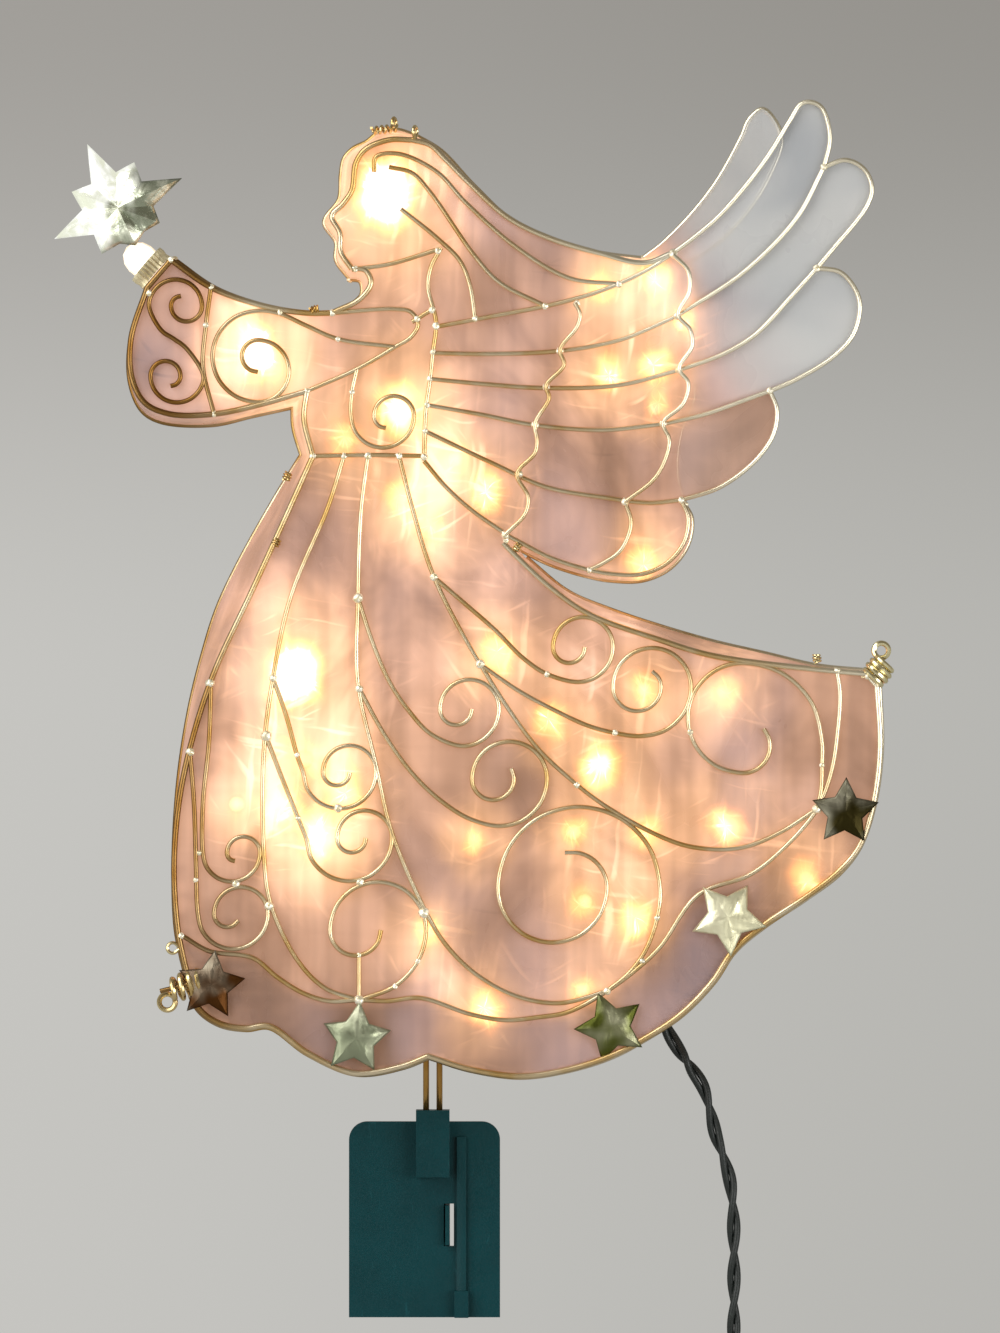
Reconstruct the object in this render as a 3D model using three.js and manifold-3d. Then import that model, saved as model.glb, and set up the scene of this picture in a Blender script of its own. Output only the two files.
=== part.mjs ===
// Lighted angel tree topper: a soldered wire and film lantern on a clamp that grips the tree's leader.
// Millimetres, Z up, the front towards -Y, and the origin in the middle of the clamp's grip.
import * as THREE from 'three';
import { mergeVertices } from 'three/addons/utils/BufferGeometryUtils.js';
import Module from 'manifold-3d';

const wasm = await Module();
wasm.setup();

// Driving dimensions
const figureHeight = 318;
const clearance = 0.3;
const cutOverrun = 1;
const facetHeight = 0.36;
const stationsPerPlace = 16;

// Lantern
const frameSpacing = 30;
const outlineWire = 2;
const backWire = 2;
const scrollWire = 1.6;
const strandWire = 1.6;
const scallopWire = 1.5;
const filmThickness = 0.5;
const bandThickness = 0.5;
const bandStep = 9;

// Stars
const starRadius = 11.4;
const starValleyShare = 0.42;
const starRim = 10;
const starDepth = 1.6;
const foilThickness = 0.5;
const wandPointLength = 23.4;
const wandShortPointLength = 16;
const wandValleyRadius = 9.6;
const wandStarDepth = 3;
const wandRim = 16;

// Wand lamp and cuff
const wandLampRadius = 5.4;
const wandLampLength = 13;
const cuffRadius = 6.6;
const cuffLength = 4.6;
const cuffFluteDepth = 0.6;
const cuffFlutes = 14;

// Lamps and their string
const bulbRadius = 2.6;
const bulbLength = 11;
const bulbFootShare = 0.8;
const bulbBellyShare = 0.3;
const bulbShoulderShare = 0.6;
const bulbTipShare = 0.5;
const bulbTipStartShare = 0.85;
const socketRadius = 3.2;
const socketDepth = 7;
const socketFlange = 1.2;
const socketFlangeWidth = 1.4;
const socketTail = 6;
const stringWire = 1.8;
const stringDroop = 2;

// Clasps, eyes and the wound wire on the head
const claspWire = 1.2;
const claspRadius = 2.1;
const claspPitch = 1.9;
const claspRingRadius = 2.6;
const windingWire = 1;
const windingRadius = 1.15;
const windingPitch = 1.7;
const eyeWire = 1.1;
const eyeRadius = 1.7;
const eyeStem = 2.4;

// Clamp
const clampWidth = 49.7;
const clampHeight = 64.4;
const clampWall = 2.5;
const clampCorner = 6;
const stemRadius = 8;
const stemRoom = 20;
const gripInset = 16.2;
const slotOffset = 16.2;
const ribOffset = 20.8;
const bossOffset = 11.4;
const slotHeight = 14;
const slotWidth = 3.3;
const slotDrop = 1.8;
const ribWidth = 3;
const ribHeight = 1.5;
const ribMargin = 5;
const tongueWidth = 4.6;
const tongueHeight = 8.8;
const tongueDepth = 3;
const cradleThickness = 3;
const cradleShare = 0.875;
const knuckleRadius = 3;
const knuckleLength = 8;
const strapHeight = 22;
const kneeShare = 0.9;
const tabThickness = 1.4;
const tabSlack = 0.5;
const tabReach = 3;
const pinRadius = 1.2;
const pinHeadRadius = 2;
const pinHeadHeight = 1;
const bossWidth = 11;
const bossDepth = 6.6;
const bossHeight = 22;
const bossRise = 4;

// Stand wire
const standWire = 2;
const standLegSpacing = 4.4;
const standSocketDepth = 16;

// Lead, splice, plug and tie
const leadDiameter = 4.6;
const spliceWidth = 10;
const spliceDepth = 8;
const spliceLength = 16;
const reliefRadius = 3.6;
const coilTurns = 6;
const coilRadius = 25;
const coilGap = 0.9;
const coilSteps = 20;
const coilLeadIn = 2;
const tailLength = 34;
const tieThickness = 1.2;
const tieWidth = 6;
const plugWidth = 22;
const plugDepth = 13;
const plugLength = 30;
const plugCorner = 3;
const bladeSpacing = 12.7;
const bladeLength = 16;
const bladeWidth = 6.3;
const bladeThickness = 1.5;
const doorLength = 16;
const doorWidth = 11;
const doorThickness = 1.6;
const doorGripHeight = 0.8;
const doorGripShare = 0.6;

// Places on the drawing of the front view, as shares of its width: across from the left, down from the top
const figureHeightShare = 0.978;
const drawing = figureHeight / figureHeightShare;
const gripShare = [0.397, 1.226];

// Depths of the layers, from the clamp's front plate forwards
const plateFront = -(stemRoom / 2 + clampWall);
const standY = plateFront - bossDepth / 2;
const backWireY = standY - (standWire + backWire) / 2 - clearance;
const lanternY = backWireY - frameSpacing / 2;
const frontWireY = lanternY - frameSpacing / 2;
const frontFilmY = frontWireY + outlineWire / 2 + clearance;
const backFilmY = backWireY - backWire / 2 - clearance - filmThickness;
const scallopY = frontWireY - (scrollWire + scallopWire) / 2 - clearance;
const frontStarY = frontWireY - outlineWire / 2 - clearance;

const across = (share) => (share - gripShare[0]) * drawing;
const up = (share) => (gripShare[1] - share) * drawing;
const place = (share, y) => new THREE.Vector3(across(share[0]), y, up(share[1]));

// Outline of the front frame, all the way round to the left from the top of the head
const faceShares = [
  [0.412, 0.14], [0.389, 0.14], [0.366, 0.149], [0.356, 0.163], [0.352, 0.19], [0.343, 0.204], [0.332, 0.216],
  [0.34, 0.233], [0.341, 0.252], [0.352, 0.269],
];
const neckShares = [[0.352, 0.269], [0.365, 0.27], [0.371, 0.283], [0.36, 0.299], [0.332, 0.313]];
const sleeveTopShares = [[0.332, 0.313], [0.306, 0.313], [0.264, 0.306], [0.212, 0.288], [0.171, 0.26]];
const sleeveEndShares = [[0.171, 0.26], [0.147, 0.288]];
const sleeveUnderShares = [
  [0.147, 0.288], [0.131, 0.339], [0.132, 0.378], [0.145, 0.403], [0.17, 0.414], [0.214, 0.414], [0.262, 0.404],
  [0.307, 0.391],
];
const bodiceSideShares = [[0.307, 0.391], [0.304, 0.418], [0.313, 0.456]];
const skirtSideShares = [
  [0.313, 0.456], [0.288, 0.512], [0.252, 0.591], [0.212, 0.678], [0.188, 0.756], [0.178, 0.81], [0.174, 0.87],
  [0.178, 0.93], [0.184, 0.961],
];
const hemLeftShares = [
  [0.184, 0.961], [0.198, 1.007], [0.219, 1.023], [0.245, 1.028], [0.269, 1.026], [0.308, 1.053], [0.355, 1.073],
  [0.402, 1.066], [0.428, 1.056],
];
const hemRightShares = [
  [0.428, 1.056], [0.47, 1.069], [0.52, 1.076], [0.565, 1.07], [0.61, 1.056], [0.645, 1.038], [0.681, 1.014],
  [0.712, 0.982], [0.733, 0.951], [0.765, 0.924], [0.807, 0.896], [0.838, 0.872], [0.859, 0.847], [0.873, 0.805],
  [0.88, 0.75], [0.877, 0.686],
];
const skirtTopShares = [
  [0.866, 0.674], [0.821, 0.67], [0.744, 0.661], [0.705, 0.654], [0.66, 0.64], [0.589, 0.614], [0.551, 0.588],
  [0.516, 0.556], [0.503, 0.543],
];
const wingUnderShares = [
  [0.512, 0.538], [0.551, 0.558], [0.589, 0.57], [0.611, 0.574], [0.642, 0.574], [0.667, 0.563], [0.684, 0.542],
  [0.688, 0.517], [0.681, 0.5],
];
const hairTopShares = [
  [0.673, 0.253], [0.644, 0.263], [0.598, 0.253], [0.549, 0.238], [0.507, 0.217], [0.466, 0.18], [0.444, 0.158],
  [0.43, 0.145], [0.412, 0.14],
];

// Outline of the back frame, the same way round
const backFaceShares = [
  [0.415, 0.131], [0.395, 0.125], [0.379, 0.127], [0.366, 0.137], [0.352, 0.144], [0.343, 0.154], [0.34, 0.17],
  [0.338, 0.195], [0.323, 0.218], [0.335, 0.238], [0.335, 0.256], [0.349, 0.275],
];
const backNeckShares = [[0.349, 0.275], [0.359, 0.277], [0.361, 0.29], [0.352, 0.3], [0.332, 0.31]];
const backSleeveTopShares = [[0.332, 0.31], [0.306, 0.31], [0.264, 0.303], [0.213, 0.285], [0.171, 0.256]];
const backSleeveEndShares = [[0.171, 0.256], [0.143, 0.287]];
const backSleeveUnderShares = [
  [0.143, 0.287], [0.127, 0.339], [0.127, 0.38], [0.139, 0.408], [0.158, 0.419], [0.209, 0.422], [0.25, 0.413],
  [0.291, 0.404],
];
const backBodiceShares = [[0.291, 0.404], [0.292, 0.425], [0.3, 0.453]];
const backSkirtSideShares = [
  [0.3, 0.453], [0.277, 0.49], [0.235, 0.565], [0.215, 0.608], [0.201, 0.652], [0.187, 0.709], [0.176, 0.78],
  [0.171, 0.86], [0.173, 0.93], [0.179, 0.962],
];
const backHemLeftShares = [
  [0.179, 0.962], [0.193, 1.01], [0.216, 1.028], [0.244, 1.033], [0.267, 1.031], [0.306, 1.058], [0.355, 1.078],
  [0.403, 1.071], [0.428, 1.061],
];
const backHemRightShares = [
  [0.428, 1.061], [0.47, 1.074], [0.52, 1.081], [0.566, 1.075], [0.612, 1.061], [0.648, 1.042], [0.684, 1.018],
  [0.716, 0.985], [0.737, 0.954], [0.768, 0.928], [0.81, 0.9], [0.842, 0.876], [0.863, 0.849], [0.878, 0.805],
  [0.885, 0.75], [0.883, 0.686],
];
const backSkirtTopShares = [
  [0.87, 0.671], [0.82, 0.666], [0.768, 0.654], [0.716, 0.642], [0.667, 0.628], [0.61, 0.609], [0.568, 0.591],
  [0.526, 0.557],
];
const backSkirtTieShares = [[0.526, 0.557], [0.525, 0.55]];
const backWingUnderShares = [
  [0.518, 0.547], [0.551, 0.563], [0.589, 0.575], [0.611, 0.579], [0.644, 0.579], [0.671, 0.567], [0.689, 0.544],
  [0.693, 0.517], [0.686, 0.503],
];
const backFeatherShares = [
  [0.69, 0.258], [0.72, 0.238], [0.75, 0.206], [0.772, 0.17], [0.784, 0.135], [0.777, 0.115], [0.765, 0.104],
  [0.752, 0.114], [0.744, 0.132], [0.721, 0.174], [0.697, 0.206], [0.666, 0.238], [0.644, 0.255],
];
const backHairTopShares = [
  [0.644, 0.255], [0.605, 0.25], [0.565, 0.241], [0.516, 0.22], [0.474, 0.182], [0.44, 0.146], [0.415, 0.131],
];
const backHairEdgeShares = [[0.684, 0.252], [0.666, 0.252], ...backHairTopShares];

// Scalloped edges of the wing's two inner rows of feathers
const middleScallopShares = [
  [0.673, 0.255], [0.688, 0.271], [0.689, 0.292], [0.678, 0.315], [0.69, 0.33], [0.692, 0.346], [0.679, 0.369],
  [0.688, 0.383], [0.683, 0.404], [0.663, 0.423], [0.669, 0.439], [0.667, 0.454], [0.655, 0.478], [0.625, 0.502],
];
const innerScallopShares = [
  [0.575, 0.303], [0.58, 0.314], [0.577, 0.327], [0.56, 0.35], [0.564, 0.365], [0.546, 0.386], [0.549, 0.398],
  [0.535, 0.424], [0.537, 0.44], [0.535, 0.453], [0.517, 0.474], [0.528, 0.497], [0.525, 0.514], [0.505, 0.535],
];
const wingEdgeShares = [[0.681, 0.5], [0.668, 0.47], [0.672, 0.43], [0.686, 0.395], [0.682, 0.34], [0.686, 0.285],
  [0.673, 0.253]];
const backWingEdgeShares = [[0.686, 0.503], [0.678, 0.47], [0.682, 0.43], [0.695, 0.395], [0.691, 0.34],
  [0.696, 0.285], [0.69, 0.258]];

// Feather tips past the middle scallop
const feather2Shares = [
  [0.824, 0.167], [0.83, 0.137], [0.822, 0.108], [0.811, 0.102], [0.801, 0.104], [0.789, 0.122], [0.768, 0.156],
  [0.744, 0.188], [0.718, 0.217], [0.692, 0.239], [0.673, 0.253],
];
const feather3Shares = [
  [0.817, 0.268], [0.834, 0.248], [0.867, 0.206], [0.872, 0.187], [0.864, 0.169], [0.846, 0.16], [0.824, 0.167],
];
const feather4Shares = [
  [0.77, 0.391], [0.797, 0.379], [0.833, 0.357], [0.853, 0.335], [0.86, 0.305], [0.854, 0.287], [0.84, 0.272],
  [0.817, 0.268],
];
const feather5Shares = [
  [0.681, 0.5], [0.72, 0.487], [0.756, 0.46], [0.773, 0.435], [0.777, 0.41], [0.77, 0.391],
];
const feather3RootShares = [[0.824, 0.167], [0.796, 0.219], [0.744, 0.272], [0.677, 0.316]];
const feather4RootShares = [[0.817, 0.268], [0.791, 0.297], [0.756, 0.334], [0.723, 0.354], [0.679, 0.37]];
const feather5RootShares = [[0.77, 0.391], [0.74, 0.402], [0.706, 0.414], [0.663, 0.424]];
const feather6RootShares = [[0.681, 0.5], [0.65, 0.503], [0.62, 0.5]];
const innerFeatherShares = [[0.625, 0.502], [0.631, 0.523], [0.621, 0.55], [0.605, 0.562], [0.589, 0.57]];

// Ribs of the wing, from its root outwards
const wingRibShares = [
  [[0.435, 0.327], [0.494, 0.316], [0.555, 0.304], [0.603, 0.29], [0.649, 0.269], [0.673, 0.253]],
  [[0.433, 0.353], [0.483, 0.354], [0.559, 0.351], [0.62, 0.34], [0.677, 0.316]],
  [[0.43, 0.379], [0.483, 0.384], [0.544, 0.388], [0.62, 0.385], [0.679, 0.37]],
  [[0.427, 0.405], [0.483, 0.415], [0.534, 0.425], [0.603, 0.43], [0.663, 0.424]],
  [[0.425, 0.431], [0.494, 0.464], [0.546, 0.487], [0.62, 0.5]],
  [[0.424, 0.461], [0.447, 0.488], [0.473, 0.511], [0.512, 0.538]],
];
const wingRootShares = [
  [0.441, 0.248], [0.431, 0.267], [0.428, 0.287], [0.436, 0.322], [0.433, 0.352], [0.43, 0.381], [0.426, 0.409],
  [0.424, 0.461],
];

// Hair, jaw, sleeve and bodice
const jawShares = [[0.355, 0.269], [0.39, 0.264], [0.436, 0.25]];
const hairStrandShares = [
  [[0.374, 0.172], [0.376, 0.157], [0.399, 0.154], [0.437, 0.172], [0.466, 0.203], [0.516, 0.247], [0.569, 0.278],
    [0.619, 0.284]],
  [[0.389, 0.167], [0.412, 0.173], [0.43, 0.192], [0.474, 0.255], [0.499, 0.282], [0.545, 0.306]],
  [[0.401, 0.209], [0.437, 0.238], [0.46, 0.261], [0.47, 0.286], [0.475, 0.319]],
];
const sleeveCuffShares = [[0.332, 0.313], [0.395, 0.309], [0.411, 0.312], [0.418, 0.324], [0.411, 0.337],
  [0.395, 0.347], [0.357, 0.369], [0.307, 0.391]];
const shoulderTieShares = [[0.412, 0.322], [0.431, 0.31]];
const sleeveDividerShares = [[0.211, 0.287], [0.206, 0.325], [0.203, 0.367], [0.214, 0.414]];
const sleeveBendShares = [[0.161, 0.33], [0.174, 0.339], [0.186, 0.348]];
const sleeveStemShares = [[0.395, 0.347], [0.338, 0.339], [0.305, 0.325], [0.28, 0.314]];
const bodiceStemShares = [[0.357, 0.369], [0.352, 0.392]];
const waistShares = [[0.313, 0.456], [0.366, 0.455], [0.424, 0.456]];

// Skirt ribs, and the stems of the scrolls that branch from them
const rib1Shares = [
  [0.344, 0.456], [0.328, 0.507], [0.291, 0.596], [0.273, 0.678], [0.264, 0.75], [0.264, 0.856], [0.271, 0.905],
  [0.298, 0.961], [0.325, 0.988], [0.359, 1.0],
];
const rib2Shares = [
  [0.368, 0.456], [0.361, 0.512], [0.358, 0.598], [0.358, 0.683], [0.376, 0.765], [0.392, 0.833], [0.426, 0.912],
  [0.446, 0.945], [0.477, 0.975], [0.516, 0.996], [0.56, 1.003], [0.607, 0.991],
];
const rib3Shares = [
  [0.399, 0.456], [0.412, 0.507], [0.434, 0.577], [0.48, 0.664], [0.535, 0.745], [0.568, 0.777], [0.61, 0.809],
  [0.674, 0.842], [0.709, 0.849], [0.744, 0.847], [0.779, 0.833], [0.817, 0.809],
];
const leftStem1Shares = [[0.211, 0.68], [0.209, 0.742], [0.203, 0.803]];
const leftStem2Shares = [[0.19, 0.752], [0.194, 0.803], [0.196, 0.864]];
const rib1Stem1Shares = [[0.273, 0.678], [0.286, 0.715], [0.297, 0.755]];
const rib1Stem2Shares = [[0.266, 0.736], [0.282, 0.778], [0.298, 0.818]];
const rib1Stem3Shares = [[0.359, 1.0], [0.395, 0.986], [0.418, 0.961]];
const rib2Stem1Shares = [[0.358, 0.598], [0.372, 0.641], [0.389, 0.681], [0.409, 0.711], [0.431, 0.734]];
const rib2Stem2Shares = [[0.36, 0.69], [0.384, 0.734], [0.412, 0.773], [0.44, 0.8], [0.47, 0.819]];
const rib2Stem3Shares = [[0.607, 0.991], [0.628, 0.974], [0.645, 0.951], [0.657, 0.918]];
const rib3Stem1Shares = [[0.434, 0.577], [0.463, 0.602], [0.495, 0.63], [0.523, 0.658], [0.547, 0.674]];
const rib3Stem2Shares = [[0.48, 0.664], [0.519, 0.691], [0.554, 0.71], [0.589, 0.726], [0.615, 0.733]];
const rib3Stem3Shares = [[0.817, 0.809], [0.821, 0.79], [0.822, 0.765]];
const starPostShares = [[0.359, 0.954], [0.359, 1.0]];
const innerHemShares = [
  [0.837, 0.671], [0.84, 0.693], [0.838, 0.728], [0.831, 0.773], [0.817, 0.809], [0.786, 0.846], [0.751, 0.874],
  [0.698, 0.895], [0.66, 0.947], [0.638, 0.968], [0.607, 0.991], [0.568, 1.012], [0.54, 1.017], [0.505, 1.02],
  [0.47, 1.014], [0.421, 0.998], [0.387, 1.001], [0.359, 1.0], [0.329, 1.001], [0.303, 0.993], [0.277, 0.977],
  [0.253, 0.958], [0.209, 0.951], [0.183, 0.936],
];

// Scroll ends: where the curl starts, its heading there, and for each bend its radius share and its angle
const quarter = 90;
const half = 180;
const sleeveUpperCurl = { startShare: [0.149, 0.306], heading: 90, side: -1,
  bendShares: [[0.0265, half], [0.0155, half], [0.01, quarter]] };
const sleeveLowerCurl = { startShare: [0.2035, 0.376], heading: -90, side: -1,
  bendShares: [[0.0265, half], [0.015, half], [0.01, quarter]] };
const sleeveCurl = { startShare: [0.258, 0.311], heading: 180, side: 1,
  bendShares: [[0.0455, half], [0.031, half], [0.016, half]] };
const bodiceCurl = { startShare: [0.351, 0.416], heading: -90, side: 1,
  bendShares: [[0.0315, half], [0.02, half], [0.012, quarter]] };
const left1Curl = { startShare: [0.203, 0.853], heading: -90, side: 1,
  bendShares: [[0.0285, half], [0.0165, half], [0.008, quarter]] };
const left2Curl = { startShare: [0.198, 0.914], heading: -90, side: 1,
  bendShares: [[0.035, half], [0.027, half], [0.013, 150]] };
const rib1Curl1 = { startShare: [0.303, 0.772], heading: -90, side: 1,
  bendShares: [[0.0365, half], [0.0265, half], [0.0135, half]] };
const rib1Curl2 = { startShare: [0.306, 0.838], heading: -90, side: 1,
  bendShares: [[0.043, half], [0.0275, half], [0.0145, half]] };
const rib1Curl3 = { startShare: [0.426, 0.93], heading: 90, side: 1,
  bendShares: [[0.048, half], [0.0255, half]] };
const rib2Curl1 = { startShare: [0.462, 0.746], heading: 0, side: 1,
  bendShares: [[0.037, quarter], [0.0295, half], [0.016, half]] };
const rib2Curl2 = { startShare: [0.5, 0.826], heading: 0, side: 1,
  bendShares: [[0.047, quarter], [0.0375, half], [0.021, 210]] };
const rib2Curl3 = { startShare: [0.66, 0.888], heading: 90, side: 1,
  bendShares: [[0.081, half], [0.0545, half], [0.036, 100]] };
const rib3Curl1 = { startShare: [0.578, 0.682], heading: 0, side: 1,
  bendShares: [[0.035, quarter], [0.03, half], [0.016, half]] };
const rib3Curl2 = { startShare: [0.642, 0.736], heading: 0, side: 1,
  bendShares: [[0.049, quarter], [0.039, half], [0.024, half], [0.018, 60]] };
const rib3Curl3 = { startShare: [0.822, 0.742], heading: 90, side: 1,
  bendShares: [[0.079, quarter], [0.055, half], [0.027, 130]] };

// Stars on the hem: middle and the heading of one point
const hemStars = [
  { middleShare: [0.211, 0.985], heading: 90 },
  { middleShare: [0.354, 1.038], heading: 81 },
  { middleShare: [0.611, 1.027], heading: 111 },
  { middleShare: [0.727, 0.918], heading: 60 },
  { middleShare: [0.848, 0.812], heading: 83 },
];
const wandStar = { middleShare: [0.117, 0.207], heading: 25.6 };
const wandBaseShare = [0.155, 0.271];
const wandTipShare = [0.121, 0.242];

// Splice of the string and the lead
const spliceShare = [0.664, 0.924];

// Clasps: the run of each winding outwards from the frame, and the stub of wire that it is wound on
const claspRightShares = [[0.8765, 0.6735], [0.892, 0.6585]];
const claspLeftShares = [[0.1825, 0.9856], [0.158, 0.9917]];
const stubRightShares = [[0.871, 0.679], [0.887, 0.6635]];
const stubLeftShares = [[0.189, 0.984], [0.16, 0.9912]];

// Lamps, in the order in which the string runs past them
const lampShares = [
  [0.254, 0.342], [0.4, 0.412], [0.385, 0.193], [0.603, 0.286], [0.655, 0.366], [0.486, 0.49], [0.295, 0.675],
  [0.318, 0.834], [0.55, 0.722], [0.725, 0.692], [0.725, 0.828], [0.585, 0.903],
];

// Lead: from the splice down to the coil, points of its own
const leadRoute = [
  [86.8, -14.2, 69.2], [86.8, -14.2, 67.2], [88.4, -14.2, 62.6], [92, -14.2, 56.3], [96.2, -14.2, 50.1],
  [100.2, -14.2, 43.7], [102.7, -14.2, 35.4], [104.5, -14.2, 27.6], [107, -14.2, 20.6], [109, -14.2, 13.3],
  [110.1, -14.2, 3.6], [110.4, -14.2, -8], [110.4, -14.2, -20], [110.4, -14.2, -32], [110.4, -14.2, -44],
  [110.4, -14.2, -57], [110.4, -14.2, -70.7],
];

// Finishes: colour, roughness and metalness
const gold = [0xd9bd7c, 0.28, 1];
const foilGold = [0xd8c98e, 0.2, 1];
const film = [0xf2ddd2, 0.35, 0];
const backFilm = [0xe6d2c8, 0.4, 0];
const glowGlass = [0xffe9b8, 0.15, 0];
const lampWhite = [0xfff3d6, 0.3, 0];
const stringGreen = [0x1f3a2a, 0.5, 0];
const teal = [0x0f6f68, 0.38, 0];
const steel = [0x9a9a96, 0.35, 1];
const leadGreen = [0x1c2622, 0.5, 0];
const plugGreen = [0x1b2a22, 0.45, 0];
const brass = [0xcaa65a, 0.3, 1];

const angel = new THREE.Group();

function solidOf(geometry) {
  const bare = geometry.clone();
  bare.deleteAttribute('normal');
  bare.deleteAttribute('uv');
  const merged = mergeVertices(bare);
  const mesh = new wasm.Mesh({
    numProp: 3,
    vertProperties: new Float32Array(merged.attributes.position.array),
    triVerts: new Uint32Array(merged.index.array),
  });
  return new wasm.Manifold(mesh);
}

function geometryOf(solid) {
  const mesh = solid.getMesh();
  const geometry = new THREE.BufferGeometry();
  geometry.setAttribute('position', new THREE.BufferAttribute(mesh.vertProperties, 3));
  geometry.setIndex(new THREE.BufferAttribute(mesh.triVerts, 1));
  geometry.computeVertexNormals();
  return geometry;
}

function add(name, shape, [color, roughness, metalness]) {
  const geometry = shape.isBufferGeometry ? shape : geometryOf(shape);
  const mesh = new THREE.Mesh(geometry, new THREE.MeshStandardMaterial({ color, roughness, metalness }));
  mesh.name = name;
  angel.add(mesh);
}

const union = (solids) => solids.reduce((sum, solid) => sum.add(solid));

function box(width, depth, height, x, y, z) {
  return solidOf(new THREE.BoxGeometry(width, depth, height).translate(x, y, z));
}

// A cylinder along Z
function rod(radius, length, x, y, z, segments) {
  return solidOf(new THREE.CylinderGeometry(radius, radius, length, segments).rotateX(Math.PI / 2)
    .translate(x, y, z));
}

// A flat outline in X and Z, given depth along Y from its front face
function sheetSolid(shape, depth, frontY) {
  const geometry = new THREE.ExtrudeGeometry(shape, { depth, bevelEnabled: false, curveSegments: 6 });
  return solidOf(geometry.rotateX(Math.PI / 2).translate(0, frontY + depth, 0));
}

// A path through fixed points, one ring of a tube at each
class BentPath extends THREE.Curve {
  constructor(points) {
    super();
    this.points = points;
  }

  getPoint(t) {
    const at = t * (this.points.length - 1);
    const index = Math.min(Math.floor(at), this.points.length - 2);
    return this.points[index].clone().lerp(this.points[index + 1], at - index);
  }

  getPointAt(t) {
    return this.getPoint(t);
  }

  getTangentAt(t) {
    const index = Math.round(t * (this.points.length - 1));
    const before = this.points[Math.max(index - 1, 0)];
    const here = this.points[index];
    const after = this.points[Math.min(index + 1, this.points.length - 1)];
    const arriving = here.clone().sub(before).normalize();
    const leaving = after.clone().sub(here).normalize();
    return arriving.add(leaving).normalize();
  }
}

// Keeps the points of a fine line that hold its shape to within the facet height
function thinned(fine) {
  const kept = [fine[0]];
  let from = 0;
  for (let to = 2; to < fine.length; to += 1) {
    const chord = new THREE.Line3(fine[from], fine[to]);
    const off = (point) => chord.closestPointToPoint(point, true, new THREE.Vector3()).distanceTo(point);
    if (fine.slice(from + 1, to).some((point) => off(point) > facetHeight)) {
      from = to - 1;
      kept.push(fine[from]);
    }
  }
  kept.push(fine[fine.length - 1]);
  return kept;
}

function smooth(points) {
  if (points.length === 2) return points;
  const curve = new THREE.CatmullRomCurve3(points, false, 'centripetal');
  return thinned(curve.getSpacedPoints(points.length * stationsPerPlace));
}

// The stations of several stretches that follow each other, without their doubled ends
function stations(stretches, y) {
  const points = stretches.flatMap((shares) => smooth(shares.map((share) => place(share, y))));
  return points.filter((point, i) => i === 0 || point.distanceTo(points[i - 1]) > clearance);
}

function tube(points, diameter, sides) {
  const corners = Array.from({ length: sides }, (_, i) => {
    const angle = (i * 2 * Math.PI) / sides;
    return new THREE.Vector2(Math.cos(angle), Math.sin(angle)).multiplyScalar(diameter / 2);
  });
  return new THREE.ExtrudeGeometry(new THREE.Shape(corners), {
    steps: points.length - 1,
    extrudePath: new BentPath(points),
    bevelEnabled: false,
  });
}

// A bent wire of the frames: stretches in shares, at one depth
function wire(stretches, y, diameter, sides, margin = 0) {
  const points = stations(stretches, y);
  const last = points.length - 1;
  const past = (end, before) => end.clone().add(end.clone().sub(before).setLength(margin));
  const reach = [past(points[0], points[1]), ...points.slice(1, last), past(points[last], points[last - 1])];
  return solidOf(tube(reach, diameter + 2 * margin, sides));
}

// Points along a scroll's curl, each bend turning on from the last
function curl({ startShare, heading, side, bendShares }) {
  const points = [startShare];
  let [x, y] = startShare;
  let angle = THREE.MathUtils.degToRad(heading);
  for (const [radiusShare, sweep] of bendShares) {
    const toMiddle = angle + side * Math.PI / 2;
    const middle = [x + radiusShare * Math.cos(toMiddle), y - radiusShare * Math.sin(toMiddle)];
    const steps = Math.ceil(sweep / 30);
    for (let i = 1; i <= steps; i += 1) {
      const turned = toMiddle + Math.PI + side * THREE.MathUtils.degToRad((sweep * i) / steps);
      x = middle[0] + radiusShare * Math.cos(turned);
      y = middle[1] - radiusShare * Math.sin(turned);
      points.push([x, y]);
    }
    angle += side * THREE.MathUtils.degToRad(sweep);
  }
  return points;
}

const reversed = (shares) => [...shares].reverse();
const scroll = (stemShares, bend) => [[...stemShares, ...curl(bend)]];

// A teardrop eye of wire: its base on the frame, the way that it points, and its turn about that way
function eye(base, heading, turn) {
  const out = new THREE.Vector3(Math.cos(heading), 0, Math.sin(heading));
  const flat = new THREE.Vector3(-Math.sin(heading), 0, Math.cos(heading));
  const aside = flat.applyAxisAngle(out, turn);
  const points = [];
  for (let angle = -140; angle <= 140; angle += 35) {
    const a = THREE.MathUtils.degToRad(angle);
    const along = eyeStem + eyeRadius * Math.cos(a);
    points.push(base.clone().addScaledVector(out, along).addScaledVector(aside, eyeRadius * Math.sin(a)));
  }
  return solidOf(tube([base, ...points, base.clone().addScaledVector(aside, clearance)], eyeWire, 5));
}

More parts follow.
